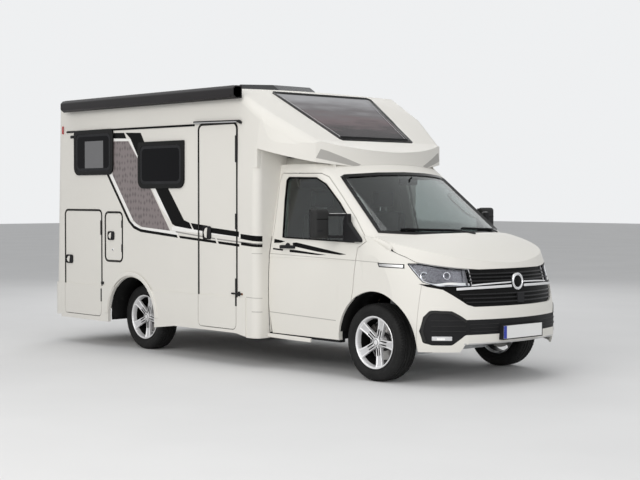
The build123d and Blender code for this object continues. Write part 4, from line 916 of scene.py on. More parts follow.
# dark band round the windscreen, a little inside its edge
SCREEN = ((-0.8, 1.284), (-0.4, 1.26), (0.0, 1.252), (0.4, 1.26), (0.8, 1.284), (0.69, 1.782),
          (0.64, 1.804), (0.32, 1.824), (0.0, 1.83), (-0.32, 1.824), (-0.64, 1.804), (-0.69, 1.782))
band = [(y * 0.975, 1.54 + (z - 1.54) * 0.95) for y, z in walk(SCREEN, 0.06)]
strip("windscreen_band", front_line(band, ("windscreen",), 0.0005, 0.006), 0.045, 0.002, gloss_black,
      closed=True, up=(0.6, 0, 0.8))

# ---------------------------------------------------------------- front: grille, chrome, plate, lamps
GRILLE = ("grille",)
TRIM = ("bumper_trim",)
# height and half width of each bar
for k, (z, half) in enumerate(((0.945, 0.5), (0.915, 0.5), (0.886, 0.5), (0.775, 0.6), (0.742, 0.58),
                               (0.709, 0.56))):
    strip("grille_bar_%d" % k, level_line(half, z, GRILLE, 0.01), 0.016, 0.012, grille_bar, bevel=0.003)

# the plain round badge: (radius, along) of its chrome ring and of its dark middle
BADGE_AXIS = (1, 0, 0.05)
BADGE = ((0.0, 0.016), (0.056, 0.016), (0.06, 0.012), (0.065, 0.019), (0.073, 0.016), (0.076, 0.0))
BADGE_MIDDLE = ((0.0, 0.0175), (0.049, 0.0175), (0.053, 0.0155))
badge = front_point(0.0, 0.872)
lathe("round_badge", BADGE, badge, BADGE_AXIS, chrome, count=56)
lathe("round_badge_dark", BADGE_MIDDLE, badge, BADGE_AXIS, grille_black, count=48)
block("sensor_block", front_point(0.0, 0.735, GRILLE, 0.01), (0.03, 0.085, 0.085), dark_trim, bevel=0.006)

# blank number plates in the recesses of their holders, and the rear holder's rim
PLATE_FLOOR = 2.9365
for tag, way, z in (("front", 1, 0.449), ("rear", -1, 0.52)):
    block("plate_" + tag, (way * (PLATE_FLOOR + 0.0012), 0.0, z), (0.0024, 0.518, 0.11), plate_white,
          bevel=0.0008)
    block("plate_band_" + tag, (way * (PLATE_FLOOR + 0.0026), -way * 0.238, z), (0.0006, 0.04, 0.107),
          plate_blue, bevel=0.0002)
ring("rear_plate_rim", rounded((-0.2665, 0.2665), (0.4575, 0.5825), 0.004),
     rounded((-0.2605, 0.2605), (0.4635, 0.5765), 0.002), -2.9395 - AXLE, -PLATE_FLOOR - AXLE, black_plastic,
     axis="x")


def open_edge(mesh, inset, sink, count=56):
    """Evenly spaced points along a mesh's longest open edge, moved in from it and under the surface."""
    work = bmesh.new()
    work.from_mesh(mesh)
    middle = sum((v.co for v in work.verts), Vector()) / len(work.verts)
    edges = {e for e in work.edges if e.is_boundary}
    loops = []
    while edges:
        follow = edges.pop()
        loop = list(follow.verts)
        while follow is not None:
            follow = next((e for e in loop[-1].link_edges if e in edges), None)
            if follow is not None:
                edges.discard(follow)
                loop.append(follow.other_vert(loop[-1]))
        loops.append(loop)
    loop = max(loops, key=lambda found: sum((a.co - b.co).length for a, b in zip(found, found[1:])))
    points = [v.co + (middle - v.co).normalized() * inset - v.normal * sink for v in loop]
    work.free()
    lengths = [0.0]
    for a, b in zip(points, points[1:]):
        lengths.append(lengths[-1] + (b - a).length)
    even = []
    k = 0
    for i in range(count):
        at = lengths[-1] * i / count
        while k < len(lengths) - 2 and lengths[k + 1] < at:
            k += 1
        t = (at - lengths[k]) / max(lengths[k + 1] - lengths[k], 1e-9)
        even.append(points[k] + (points[k + 1] - points[k]) * min(max(t, 0.0), 1.0))
    return even


def lamp_point(x, y, z, side, sink):
    """A point under the lamp's lens, and the way its surface faces there."""
    at, normal = tree_of(LAMPS).find_nearest(spot(x, y, z, side))[:2]
    if normal.x < 0:
        normal = -normal
    return at - normal * sink, normal


LAMPS = ("headlamps",)
LAMP_ZONE = ((0.3, 0.8), (0.85, 0.8), (0.85, 1.06), (0.3, 1.06))
LAMP_FOOT = ((0.48, 0.838, 0.872), (0.56, 0.75, 0.868), (0.64, 0.65, 0.864), (0.725, 0.5, 0.858))
LAMP_WEDGE = ((0.85, 0.866), (0.62, 0.846), (0.615, 0.808), (0.72, 0.818), (0.81, 0.842))
# (radius, along) round a projector's chrome rim, its lens and its pale back
PROJECTOR_RIM = ((0.024, 0.01), (0.027, 0.014), (0.033, 0.012), (0.036, 0.0), (0.036, -0.02))
PROJECTOR_LENS = ((0.0, 0.013), (0.01, 0.0115), (0.019, 0.007), (0.025, 0.0), (0.026, -0.01))
PROJECTOR_BACK = ((0.0, -0.004), (0.014, -0.003), (0.03, 0.002))
# (y, height) along each chrome line, from the badge outwards
CHROME_UPPER = ((0.085, 0.868), (0.2, 0.866), (0.32, 0.862), (0.42, 0.857), (0.495, 0.851))
CHROME_LOWER = ((0.085, 0.836), (0.2, 0.835), (0.35, 0.832), (0.5, 0.828), (0.625, 0.822))
# (y, height) round the black surround of the fog lamp, just inside the trim's outline
FOG_EDGE = ((0.838, 0.38), (0.856, 0.47), (0.838, 0.58), (0.806, 0.629), (0.745, 0.63), (0.685, 0.624),
            (0.63, 0.59), (0.58, 0.548))
# the fender's badge strip and its face, as (length from the axle, height)
BADGE_STRIP = ((0.083, 1.034), (0.099, 0.998), (0.344, 0.992), (0.339, 1.028))
BADGE_FACE = ((0.098, 1.027), (0.108, 1.006), (0.332, 0.999), (0.329, 1.021))
for tag, side in SIDES:
    for name, points, height in (("upper", CHROME_UPPER, 0.012), ("lower", CHROME_LOWER, 0.022)):
        path = smooth_path(front_line(points, NOSE_SKIN, 0.004, 0.02, side), steps=5)
        strip("chrome_%s_%s" % (name, tag), path, 0.012, height, bright_trim, bevel=0.003)

    lens = skin("lamp_lens_" + tag, LAMPS, LAMP_ZONE, "y", side, lamp_glass, push=0.0, facing=0.02)[0]
    thicken(lens, 0.003, -1)
    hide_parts("headlamps")
    skin("lamp_back_" + tag, LAMPS, LAMP_ZONE, "y", side, lamp_inner, push=-0.034, facing=0.02)
    strip("lamp_edge_" + tag, open_edge(lens.data, 0.013, -0.0006), 0.003, 0.014, lamp_pale, closed=True)
    strip("lamp_gap_" + tag, open_edge(lens.data, 0.0, 0.002), 0.009, 0.009, grille_black, closed=True)
    foot = [lamp_point(*at, side, -0.0008)[0] for at in LAMP_FOOT]
    strip("lamp_foot_" + tag, smooth_path(foot), 0.003, 0.02, lit_white)
    skin("lamp_wedge_" + tag, ("front_bumper", "fenders", "grille", "bumper_trim"),
         [(side * y, z) for y, z in LAMP_WEDGE], "x", 1, grille_black, push=0.0012, facing=0.12)
    for k, (x, y, z) in enumerate(((0.489, 0.811, 0.938), (0.626, 0.669, 0.939))):
        at, normal = lamp_point(x, y, z, side, 0.03)
        face = (normal + Vector((0.5, 0, 0))).normalized()
        end = "_%s_%d" % (tag, k)
        lathe("projector_rim" + end, PROJECTOR_RIM, at, face, chrome, count=40)
        lathe("projector" + end, PROJECTOR_LENS, at, face, lamp_glass, count=32)
        lathe("projector_back" + end, PROJECTOR_BACK, at, face, alloy_shade, count=32)

    held = smooth_path(front_line(FOG_EDGE, TRIM, 0.003, 0.0, side))
    strip("fog_lip_" + tag, held, 0.026, 0.012, surround_grey, up=(0.6, side * 0.8, 0.0), bevel=0.004,
          segments=3)
    for k, z in enumerate((0.56, 0.515, 0.47)):
        rib = front_line([(0.81 - 0.022 * s, z) for s in range(11)], TRIM, 0.001, 0.0, side)
        strip("fog_rib_%s_%d" % (tag, k), rib, 0.008, 0.008, surround_grey, bevel=0.002)
    lamp = front_line([(0.806 - 0.024 * s, 0.41) for s in range(6)], TRIM, 0.002, 0.0, side)
    strip("fog_lamp_" + tag, lamp, 0.01, 0.036, alloy_shade, bevel=0.004)
    strip("fog_lamp_light_" + tag, [p + Vector((0.0055, 0, -0.004)) for p in lamp[1:4]], 0.003, 0.016,
          lit_white)
    skin("badge_strip_" + tag, ("fenders",), BADGE_STRIP, "y", side, grille_black, push=0.001, facing=0.05)
    skin("badge_strip_face_" + tag, ("fenders",), BADGE_FACE, "y", side, satin_silver, push=0.002,
         facing=0.05)
    for k, z in enumerate((0.525, 0.495, 0.465)):
        rib = [p for p in level_line(0.55, z, TRIM, 0.001) if p.y * side > 0.275]
        strip("insert_rib_%s_%d" % (tag, k), rib, 0.006, 0.006, surround_grey, bevel=0.002)
skid = level_line(0.6, 0.3625, ("front_bumper", "bumper_trim"), 0.0005)
strip("skid_strip", skid, 0.003, 0.01, satin_silver, bevel=0.001)

# joint sheets between fender and bonnet, the cowl, and the door's jamb and sill
COWL_CORNER = ((-0.03, 0.895), (0.02, 0.845), (0.06, 0.78), (0.1, 0.705))
COWL = ((0.112, 0.69), (0.165, 0.56), (0.215, 0.4), (0.255, 0.2), (0.268, 0.0))
for tag, side in SIDES:
    rows = []
    for x in (-0.045, -0.02, 0.01, 0.045, 0.085, 0.125, 0.165, 0.2):
        low = hit(("fenders",), spot(x, 0.912, 3.0, side), (0, 0, -1))
        high = hit(("bonnet",), spot(max(x, 0.004), 0.878, 3.0, side), (0, 0, -1))
        if low is not None and high is not None:
            low.z -= 0.001
            high.z -= 0.006
            high.x = low.x
            rows.append([low, (low + high) / 2 + Vector((0, 0, 0.006)), high,
                         high + Vector((0, -side * 0.03, -0.002))])
    sheet_through("wing_joint_" + tag, rows, paint, smooth=60.0)
    corner = [[spot(x, y, 1.222, side), spot(x - 0.05, y - 0.03, 1.222, side)] for x, y in COWL_CORNER]
    sheet_through("cowl_corner_" + tag, corner, paint)
    cowl = [[spot(x, y, 1.22, side), spot(x - 0.06, y, 1.22, side)] for x, y in COWL]
    sheet_through("cowl_" + tag, cowl, grille_black)
    jamb = [side_point(-1.3, z, side, ("cab_door_" + tag,), -0.02, 0.0) + Vector((-0.046, 0, 0))
            for z in (0.335, 0.6, 0.85, 1.1, 1.3, 1.5, 1.7, 1.78)]
    strip("door_jamb_" + tag, jamb, 0.03, 0.01, paint, up=(1, 0, 0))
    sill = [spot(-1.352, 0.955, 0.306, side), spot(-0.76, 0.955, 0.3, side)]
    strip("sill_" + tag, sill, 0.02, 0.036, paint, bevel=0.004)

# ---------------------------------------------------------------- exhaust and springs underneath
EXHAUST = ((0.9, -0.25, 0.33), (0.2, -0.28, 0.3), (-0.9, -0.3, 0.3), (-1.35, -0.34, 0.4), (-1.9, -0.38, 0.3),
           (-2.62, -0.42, 0.3))
COIL_STEPS = 96
COIL_TURNS = 6
COIL_RADIUS = 0.052
tube("exhaust_pipe", smooth_path(EXHAUST), 0.03, steel, count=12)
tube("silencer", smooth_path([(x, -0.29, 0.298) for x in (-0.15, -0.2, -0.72, -0.78)]), 0.075, steel,
     count=20)
for tag, side in SIDES:
    coil = []
    for s in range(COIL_STEPS + 1):
        t = s / COIL_STEPS
        a = 2 * math.pi * COIL_TURNS * t
        coil.append((REAR_AXLE - 0.02 + COIL_RADIUS * math.cos(a), side * 0.56 + COIL_RADIUS * math.sin(a),
                     0.395 + 0.105 * t))
    tube("rear_coil_" + tag, coil, 0.0065, stripe_black, count=6)

# ---------------------------------------------------------------- wheels
# (radius, distance from the middle) down the sidewall, then over the tread to its middle
TYRE_HALF = [(0.2205, 0.078), (0.2225, 0.088), (0.23, 0.0925), (0.2345, 0.0965), (0.2385, 0.0975),
             (0.242, 0.0955), (0.256, 0.102), (0.27, 0.1062), (0.2715, 0.1072), (0.286, 0.1075),
             (0.299, 0.1068), (0.308, 0.1042), (0.309, 0.1048), (0.317, 0.1), (0.324, 0.0945), (0.33, 0.089),
             (0.3335, 0.084), (0.3352, 0.079), (0.3364, 0.062), (0.3368, 0.056), (0.33, 0.0545),
             (0.33, 0.0475), (0.3372, 0.046), (0.3376, 0.025), (0.3305, 0.0238), (0.3305, 0.016),
             (0.3379, 0.015), (0.338, 0.0)]
TYRE = TYRE_HALF + [(r, -w) for r, w in reversed(TYRE_HALF[:-1])] + [(0.2215, -0.07), (0.2215, 0.07)]
TYRE_STEPS = 216
RIM_FACE = ((0.229, 0.0915), (0.23, 0.096), (0.2265, 0.0985), (0.2215, 0.0975), (0.2165, 0.093),
            (0.212, 0.082), (0.208, 0.062), (0.203, 0.03), (0.201, -0.03), (0.206, -0.07),
            (0.216, -0.088), (0.218, -0.089), (0.219, -0.07), (0.219, 0.07))
# radius, half width, height of the face along the axle, thickness
SPOKE_STATIONS = ((0.046, 0.027, 0.056, 0.04), (0.07, 0.029, 0.06, 0.038), (0.11, 0.0315, 0.0655, 0.034),
                  (0.15, 0.0345, 0.072, 0.03), (0.185, 0.0385, 0.0805, 0.028), (0.206, 0.043, 0.0875, 0.028),
                  (0.2165, 0.047, 0.0915, 0.024))
# across the spoke as a share of its half width, and down from its face in metres (None: the spoke's back)
SPOKE_SECTION = ((-0.92, None), (-1.0, 0.005), (-0.94, 0.0), (-0.7, 0.0), (-0.6, 0.0045), (0.6, 0.0045),
                 (0.7, 0.0), (0.94, 0.0), (1.0, 0.005), (0.92, None))
# the darker plate on the floor between a spoke's raised edges: painted shade
WEB_SHADE_SECTION = ((-0.58, 0.004), (0.58, 0.004), (0.58, 0.006), (-0.58, 0.006))
# (radius, along) profiles of the parts that are turned about the wheel's axis
HUB = ((0.0, 0.054), (0.024, 0.054), (0.028, 0.05), (0.03, 0.057), (0.05, 0.06), (0.056, 0.055),
       (0.062, 0.04), (0.062, -0.01), (0.034, -0.012), (0.0335, 0.045), (0.0, 0.046))
HUB_CAP = ((0.0, 0.075), (0.022, 0.0745), (0.032, 0.0725), (0.036, 0.069), (0.037, 0.055))
CAP_RING = ((0.0225, 0.0738), (0.023, 0.0752), (0.027, 0.0745), (0.0275, 0.073))
# a black lining inside the rim's barrel: painted shade of its deep inside
BARREL_SHADE = ((0.2055, 0.05), (0.2024, 0.03), (0.2004, -0.03), (0.2, -0.06), (0.199, -0.06),
                (0.1994, -0.03), (0.2014, 0.03), (0.2045, 0.05))
# a dark slot in a spoke: (radius, height) along it, and its distance from the spoke's middle
SLOT = ((0.036, 0.057), (0.056, 0.0566), (0.08, 0.0592), (0.118, 0.064))
SLOT_LEAN = 0.014
BOLT_CIRCLE = 0.048
BOLT = ((0.0, 0.064), (0.006, 0.064), (0.0075, 0.062), (0.0078, 0.055))
BOLT_SEAT = ((0.0079, 0.0615), (0.0105, 0.0622), (0.0115, 0.0605))
DISC = ((0.078, -0.03), (0.16, -0.03), (0.162, -0.032), (0.162, -0.036), (0.158, -0.037), (0.158, -0.045),
        (0.162, -0.046), (0.162, -0.05), (0.16, -0.052), (0.078, -0.052))
DISC_BELL = ((0.036, -0.014), (0.078, -0.014), (0.082, -0.02), (0.082, -0.04))
VALVE_RADIUS = 0.197
CALIPER_RADIUS = 0.158
# across and down the caliper's section
CALIPER = ((-0.034, -0.035), (0.034, -0.035), (0.03, 0.028), (-0.03, 0.028))


def tyre_mesh(name, centre, side):
    """A tyre with three ribs, grooves and shoulder blocks."""
    verts = []
    for k in range(TYRE_STEPS):
        out = way_at(360.0 * k / TYRE_STEPS)[0]
        for r, w in TYRE:
            deep = 0.0
            if k % 3 == 0 and 0.0615 < abs(w) < 0.0895 and r > 0.329:
                deep = 0.0065
            if k % 3 == 1 and 0.02 < abs(w) < 0.05 and r > 0.336:
                deep = 0.003
            verts.append(centre + out * (r - deep) + Vector((0, side * w, 0)))
    return mesh_from(name, verts, grid_faces(TYRE_STEPS, len(TYRE), True, True))


def spoke_mesh(centre, side, degrees, stations, section):
    """A bar from the hub to the rim with the given section: a broad spoke, or the plate of painted shade on
    its floor.
    """
    out, cross = way_at(degrees)
    m = len(section)
    verts = []
    for r, half, height, thick in stations:
        for u, down in section:
            along = height - (thick if down is None else down)
            verts.append(centre + out * r + cross * half * u + Vector((0, side * along, 0)))
    faces = grid_faces(len(stations), m, False, True)
    faces += [tuple(range(m)), tuple(range(len(verts) - m, len(verts)))]
    return mesh_from("bar", verts, faces)


def join_meshes(name, meshes):
    work = bmesh.new()
    for mesh in meshes:
        work.from_mesh(mesh)
        bpy.data.meshes.remove(mesh)
    return mesh_of(name, work)


def build_wheel(end, side_name, side, x, turn):
    """A tyre, rim, five spokes and small parts; turn is the first spoke's angle in degrees."""
    body = "wheel_%s_%s" % (end, side_name)
    tag = "_%s_%s" % (end, side_name)
    centre = Vector((x, side * WHEEL_Y, WHEEL_Z))
    axis = outward(side)
    angles = [turn + 72 * k for k in range(5)]

    def joined(name, meshes, material, **more):
        add_object(name + tag, join_meshes(name + tag, meshes), material, body, **more)

    tread = tyre_mesh("tread" + tag, centre, side)
    tyre = add_object("tread" + tag, tread, tyre_rubber, body, slot="tyre", smooth=32.0)
    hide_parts("tyre" + tag)
    rim = lathe("wheel_rim" + tag, RIM_FACE, centre, axis, alloy, body, 96, True, slot="alloy")
    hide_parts("rim" + tag)
    joined("spokes", [spoke_mesh(centre, side, t, SPOKE_STATIONS, SPOKE_SECTION) for t in angles], alloy,
           slot="alloy", bevel=0.0015)
    # painted shade: a darker plate on each spoke's floor
    joined("spoke_web_shade", [spoke_mesh(centre, side, t, SPOKE_STATIONS[1:-1], WEB_SHADE_SECTION) for t in angles],
           alloy_shade)
    lathe("hub" + tag, HUB, centre, axis, alloy, body, 60, slot="alloy")
    lathe("hub_cap" + tag, HUB_CAP, centre, axis, alloy, body, 48)
    lathe("hub_cap_ring" + tag, CAP_RING, centre, axis, alloy_dark, body, 48, True)
    # painted shade deep inside the barrel
    lathe("barrel_shade" + tag, BARREL_SHADE, centre, axis, grille_black, body, 72, True)
    slots = []
    for out, cross in [way_at(t) for t in angles]:
        for lean in (-SLOT_LEAN, SLOT_LEAN):
            path = [centre + out * r + cross * lean + axis * h for r, h in SLOT]
            slots.append(sweep_mesh("slot", path, flat_section(0.0085, 0.006), up=axis))
    joined("spoke_slots", slots, stripe_black)
    bolts = []
    for at in [centre + way_at(t + 36)[0] * BOLT_CIRCLE for t in angles]:
        bolts.append(lathe_mesh("bolt", BOLT, at, axis, 6))
        bolts.append(lathe_mesh("seat", BOLT_SEAT, at, axis, 20))
    joined("bolts", bolts, satin_silver)
    valve = centre + way_at(turn + 36)[0] * VALVE_RADIUS
    tube("valve" + tag, [valve + axis * 0.045, valve + axis * 0.075], 0.0045, rubber, body)
    # the brake disc turns with the wheel; its caliper stays on the axle
    lathe("disc" + tag, DISC, centre, axis, disc_steel, body, 72, True)
    lathe("disc_bell" + tag, DISC_BELL, centre, axis, alloy_dark, body, 48)
    holder, middle = ("steer_" + side_name, 150) if end == "front" else ("root", 30)
    arc = [centre + way_at(middle - 22 + 44 * s / 6)[0] * CALIPER_RADIUS - axis * 0.041 for s in range(7)]
    caliper = sweep_mesh("caliper" + tag, arc, CALIPER, up=(0.01, side, 0))
    add_object("caliper" + tag, caliper, cast_metal, holder, bevel=0.006)


TURNS = {"front_right": 68.0, "front_left": 76.0, "rear_right": 64.0, "rear_left": 80.0}
# dark liners inside the arches: centre, radius, y range and angles
LINERS = {"front": (0.03, 0.345, 0.4385, 0.6, 0.925, 8, 172),
          "rear": (-3.365, 0.35, 0.4135, 0.68, 1.064, -8, 188)}
LIP_CENTRE = (-3.365, 0.35)
LIP_RADIUS = 0.448
for side_name, side in SIDES:
    for end, axle_x in (("front", AXLE), ("rear", REAR_AXLE)):
        tag = end + "_" + side_name
        build_wheel(end, side_name, side, axle_x, TURNS[tag])
        x0, z0, radius, y_in, y_out, first, last = LINERS[end]
        rows = []
        for out in [way_at(first + (last - first) * s / 28)[0] * radius for s in range(29)]:
            rows.append([spot(x0 + out.x, y, z0 + out.z, side) for y in (y_in, (y_in + y_out) / 2, y_out)])
        sheet_through("arch_liner_" + tag, rows, grille_black, thickness=0.003)
    # body-coloured lip round the living body's arch
    arch = spot(LIP_CENTRE[0], 1.1125, LIP_CENTRE[1], side)
    lip = [arch + way_at(2 + 176 * s / 36)[0] * LIP_RADIUS for s in range(37)]
    strip("arch_lip_" + side_name, lip, 0.044, 0.016, panel_paint, up=(0, 1, 0), bevel=0.007, segments=4)

# ---------------------------------------------------------------- rear
# sections of the tail lamps: name, low and high edge, material
TAIL_SECTIONS = (("indicator", 1.235, 1.365, amber_deep), ("reversing", 1.065, 1.165, lamp_pale),
                 ("edge_a", 1.2, 1.206, dark_trim), ("edge_b", 1.02, 1.026, dark_trim),
                 ("edge_c", 1.398, 1.404, dark_trim))
REAR_PANE = ((-0.46, 1.72), (0.46, 1.72), (0.46, 2.16), (-0.46, 2.16))
for tag, side in SIDES:
    for name, low, high, look in TAIL_SECTIONS:
        outline = [(side * y, z) for y, z in ((0.8, low), (1.02, low), (1.02, high), (0.8, high))]
        skin("tail_%s_%s" % (name, tag), ("tail_lamps",), outline, "x", -1, look, push=0.0012, facing=0.1)


def back_point(y, z, lift):
    """The rearmost surface point at a y and a height, lifted backwards."""
    found = hit(("rear_wall", "rear_bumper", "tail_lamps"), (-6.0, y, z), (1, 0, 0))
    return found - Vector((lift, 0, 0))


(pane_y, pane_z), (far_y, top_z) = REAR_PANE[0], REAR_PANE[2]
rows = [[back_point(pane_y + (far_y - pane_y) * c / 8, pane_z + (top_z - pane_z) * r / 5,
                    0.012) for c in range(9)]
        for r in range(6)]
sheet_through("rear_pane", rows, tinted, thickness=0.016)
edge = [back_point(y, z, 0.01) for y, z in walk(REAR_PANE, count=8)]
strip("rear_pane_frame", edge, 0.026, 0.05, gloss_black, closed=True, up=(1, 0, 0), bevel=0.006)

# ---------------------------------------------------------------- cab inside
SEAT_Y = 0.41
# how far a cushion's top and bottom pull in, and how far its edges drop
PINCH = 0.06
EDGE_DROP = 0.1


def cushion(name, centre, size, crown, material, turn=None):
    """A padded block: crowned faces, sides that pull in towards top and bottom, rounded edges."""
    work = bmesh.new()
    bmesh.ops.create_cube(work, size=2.0)
    bmesh.ops.subdivide_edges(work, edges=work.edges[:], cuts=5, use_grid_fill=True)
    for v in work.verts:
        x, y, z = v.co
        dome = (1 - x * x) * (1 - y * y)
        pulled = 1 - PINCH * abs(z) ** 3
        v.co.x = x * pulled * size[0] / 2
        v.co.y = y * pulled * size[1] / 2
        v.co.z = z * (1 - EDGE_DROP * (abs(x) ** 4 + abs(y) ** 4)) * size[2] / 2 + crown * dome * z
    if turn:
        bmesh.ops.rotate(work, matrix=turn, verts=work.verts)
    bmesh.ops.translate(work, vec=centre, verts=work.verts)
    obj = add_object(name, mesh_of(name, work), material, smooth=180.0)
    rounder = obj.modifiers.new("smooth", "SUBSURF")
    rounder.levels = 2
    rounder.render_levels = 2
    return obj


def tilt(degrees):
    return Matrix.Rotation(math.radians(degrees), 3, "Y")


BACK = tilt(-84)
for tag, side in SIDES:
    y = side * SEAT_Y
    seat = cushion("seat_base_" + tag, spot(-0.885, y, 0.83), (0.49, 0.3, 0.135), 0.012, seat_centre)
    if tag == "left":
        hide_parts("cab_seats")
    cushion("seat_back_" + tag, spot(-1.188, y, 1.165), (0.58, 0.295, 0.115), 0.01, seat_centre, BACK)
    cushion("head_rest_" + tag, spot(-1.195, y, 1.575), (0.155, 0.25, 0.085), 0.012, seat_cloth, BACK)
    block("seat_box_" + tag, spot(-0.89, y, 0.65), (0.36, 0.34, 0.215), dark_trim, bevel=0.012)
    for k, way in enumerate((-1, 1)):
        end = "_%s_%d" % (tag, k)
        cushion("seat_bolster" + end, spot(-0.885, y + way * 0.19, 0.842), (0.49, 0.1, 0.125), 0.01,
                seat_cloth)
        cushion("back_bolster" + end, spot(-1.178, y + way * 0.1862, 1.165), (0.56, 0.095, 0.125), 0.01,
                seat_cloth, BACK)
        cushion("arm_rest" + end, spot(-1.0, y + way * 0.231475, 1.035), (0.3, 0.045, 0.05), 0.004,
                seat_cloth)
        post = [spot(-1.195, y + way * 0.045, z) for z in (1.43, 1.52)]
        tube("head_rest_post" + end, post, 0.006, chrome)

# dashboard: instrument hood, screen and vents
hood_at = hit(("dashboard",), spot(-0.42, SEAT_Y, 2.0), (0, 0, -1))
lathe("instrument_hood", [(0.0, 0.17), (0.06, 0.168), (0.075, 0.15), (0.078, -0.17), (0.0, -0.17)],
      hood_at - Vector((0, 0, 0.012)), outward(1), dark_trim, count=40)
block("centre_screen", spot(-0.545, 0.0, 1.115), (0.03, 0.25, 0.15), gloss_black, bevel=0.008, turn=tilt(-14))
for k, y in enumerate((-0.74, -0.2, 0.2, 0.74)):
    block("air_vent_%d" % k, spot(-0.552, y, 1.105), (0.02, 0.11, 0.062), gloss_black, bevel=0.008)

# steering wheel: padded rim over its solid, hub pad and spokes
WHEEL_BODY = "steering_wheel_body"
PAD = ((0.0, 0.022), (0.045, 0.02), (0.058, 0.014), (0.062, 0.0), (0.05, -0.01), (0.024, -0.012),
       (0.024, -0.06), (0.0, -0.06))
rake = math.radians(27)
column = Vector((-math.cos(rake), 0, math.sin(rake)))
hub = spot(-0.6, SEAT_Y, 1.075)
rim_profile = [(0.173 + 0.0155 * u, 0.014 + 0.0145 * v) for u, v in circle_section(1.0, 12)]
wheel_rim = lathe("steering_rim", rim_profile, hub, column, dark_trim, WHEEL_BODY, 72, True)
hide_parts("steering_wheel")
lathe("steering_pad", PAD, hub, column, dark_trim, WHEEL_BODY, 40)
across = column.cross(Vector(UP)).normalized()
down = column.cross(across).normalized()
down = down if down.z < 0 else -down
for k, (way, look) in enumerate(((across, satin_silver), (-across, satin_silver), (down, dark_trim))):
    path = [hub + way * r + column * h for r, h in ((0.045, 0.006), (0.11, 0.006), (0.172, 0.012))]
    strip("steering_spoke_%d" % k, path, 0.038, 0.012, look, WHEEL_BODY, up=column, bevel=0.004)

# inside mirror, visors, grab handles on the pillars
inner_mirror = front_point(0.0, 1.735, ("windscreen",), -0.06)
block("inside_mirror", inner_mirror, (0.024, 0.235, 0.062), black_plastic, bevel=0.012, segments=4)
stem = [inner_mirror + Vector((0.01, 0, 0.02)), inner_mirror + Vector((0.045, 0, 0.045))]
tube("inside_mirror_stem", stem, 0.008, black_plastic)
for tag, side in SIDES:
    block("sun_visor_" + tag, spot(-0.845, 0.37, 1.822, side), (0.16, 0.4, 0.018), blind_grey, bevel=0.007)
    grab = [front_point(side * y, z, ("windscreen", "cab_shell"), -deep) for y, z, deep in
            ((0.66, 1.62, 0.085), (0.615, 1.6, 0.13), (0.655, 1.44, 0.13), (0.715, 1.4, 0.085))]
    tube("grab_handle_" + tag, smooth_path(grab), 0.012, lit_white, count=10)

# ---------------------------------------------------------------- camera, light and floor
# the camera that was solved from the photograph: place, heading, pitch and roll, focal length in pixels
CAMERA_AT = Vector((10.317, -9.205, 1.6))
FOCAL = 1357.8
PICTURE_WIDTH = 640.0
heading = math.radians(47.25)
pitch = math.radians(-1.83)
roll = math.radians(0.06)
look = Vector((-math.sin(heading) * math.cos(pitch), math.cos(heading) * math.cos(pitch), math.sin(pitch)))
level = look.cross(Vector(UP)).normalized()
upright = level.cross(look)
right = level * math.cos(roll) + upright * math.sin(roll)
above = -level * math.sin(roll) + upright * math.cos(roll)
camera_data = bpy.data.cameras.new("camera")
camera_data.sensor_width = 36.0
camera_data.lens = camera_data.sensor_width * FOCAL / PICTURE_WIDTH
camera_data.clip_end = 200.0
camera = bpy.data.objects.new("camera", camera_data)
bpy.context.scene.collection.objects.link(camera)
camera.matrix_world = Matrix.Translation(CAMERA_AT) @ Matrix((right, above, -look)).transposed().to_4x4()
bpy.context.scene.camera = camera

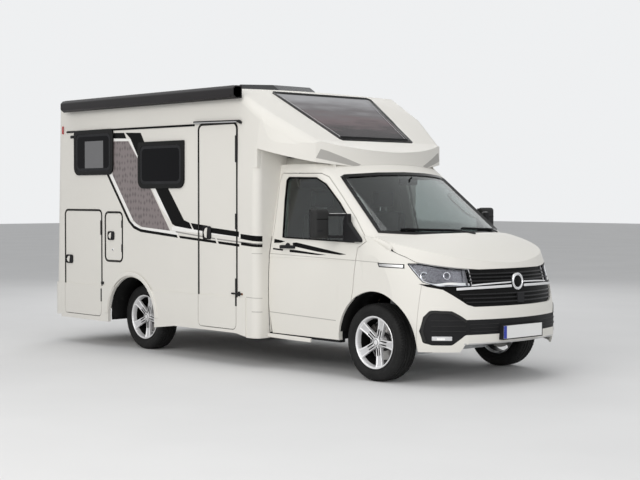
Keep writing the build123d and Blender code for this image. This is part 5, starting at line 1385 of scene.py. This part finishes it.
# name, place, target, size, power, colour
for name, at, target, size, power, colour in (
        ("key", (3.5, -11.0, 6.0), (0.0, -0.5, 1.0), (8.0, 5.0), 480.0, (1.0, 0.985, 0.96)),
        ("front_fill", (12.0, 0.0, 5.0), (2.0, 0.0, 1.0), (6.0, 5.0), 150.0, (0.99, 0.99, 1.0)),
        ("overhead", (0.5, -1.5, 9.0), (0.3, -0.3, 1.0), (8.0, 6.0), 200.0, (1.0, 1.0, 1.0)),
        ("camera_fill", (10.0, -10.0, 3.0), (1.5, -0.8, 0.9), (6.0, 4.0), 200.0, (1.0, 0.985, 0.965)),
        ("far_fill", (-7.0, 7.0, 6.0), (0.0, 0.0, 1.2), (6.0, 4.0), 240.0, (1.0, 1.0, 1.0))):
    data = bpy.data.lights.new(name, "AREA")
    data.shape = "RECTANGLE"
    data.size, data.size_y = size
    data.energy = power
    data.color = colour
    lamp = bpy.data.objects.new(name, data)
    bpy.context.scene.collection.objects.link(lamp)
    lamp.location = at
    lamp.rotation_euler = (Vector(target) - Vector(at)).to_track_quat("-Z", "Y").to_euler()

# the backdrop is brighter where the camera, glass or a mirror sees it than as a light
WORLD_LIGHT = 0.58
WORLD_SEEN = 1.0
world = bpy.data.worlds.new("world")
bpy.context.scene.world = world
world.use_nodes = True
background = world.node_tree.nodes["Background"]
background.inputs["Color"].default_value = (0.86, 0.87, 0.88, 1.0)
new_node = world.node_tree.nodes.new
new_link = world.node_tree.links.new
paths = new_node("ShaderNodeLightPath")
seen = paths.outputs["Is Camera Ray"]
for ray in ("Is Transmission Ray", "Is Glossy Ray"):
    either = new_node("ShaderNodeMath")
    either.operation = "MAXIMUM"
    new_link(seen, either.inputs[0])
    new_link(paths.outputs[ray], either.inputs[1])
    seen = either.outputs[0]
strength = new_node("ShaderNodeMapRange")
strength.inputs["To Min"].default_value = WORLD_LIGHT
strength.inputs["To Max"].default_value = WORLD_SEEN
new_link(seen, strength.inputs["Value"])
new_link(strength.outputs["Result"], background.inputs["Strength"])

pale = Nodes("floor_pale")
pale.colour(pale.noise(0.6), (0.3, 0.7), (0.7, 0.73))
pale.set(Roughness=0.9)
floor_mesh = bpy.data.meshes.new("floor")
floor_mesh.from_pydata([(-60, -60, 0), (60, -60, 0), (60, 60, 0), (-60, 60, 0)], [], [(0, 1, 2, 3)])
floor_mesh.materials.append(pale.material)
floor = bpy.data.objects.new("floor", floor_mesh)
bpy.context.scene.collection.objects.link(floor)

bpy.context.scene.view_settings.view_transform = "Standard"
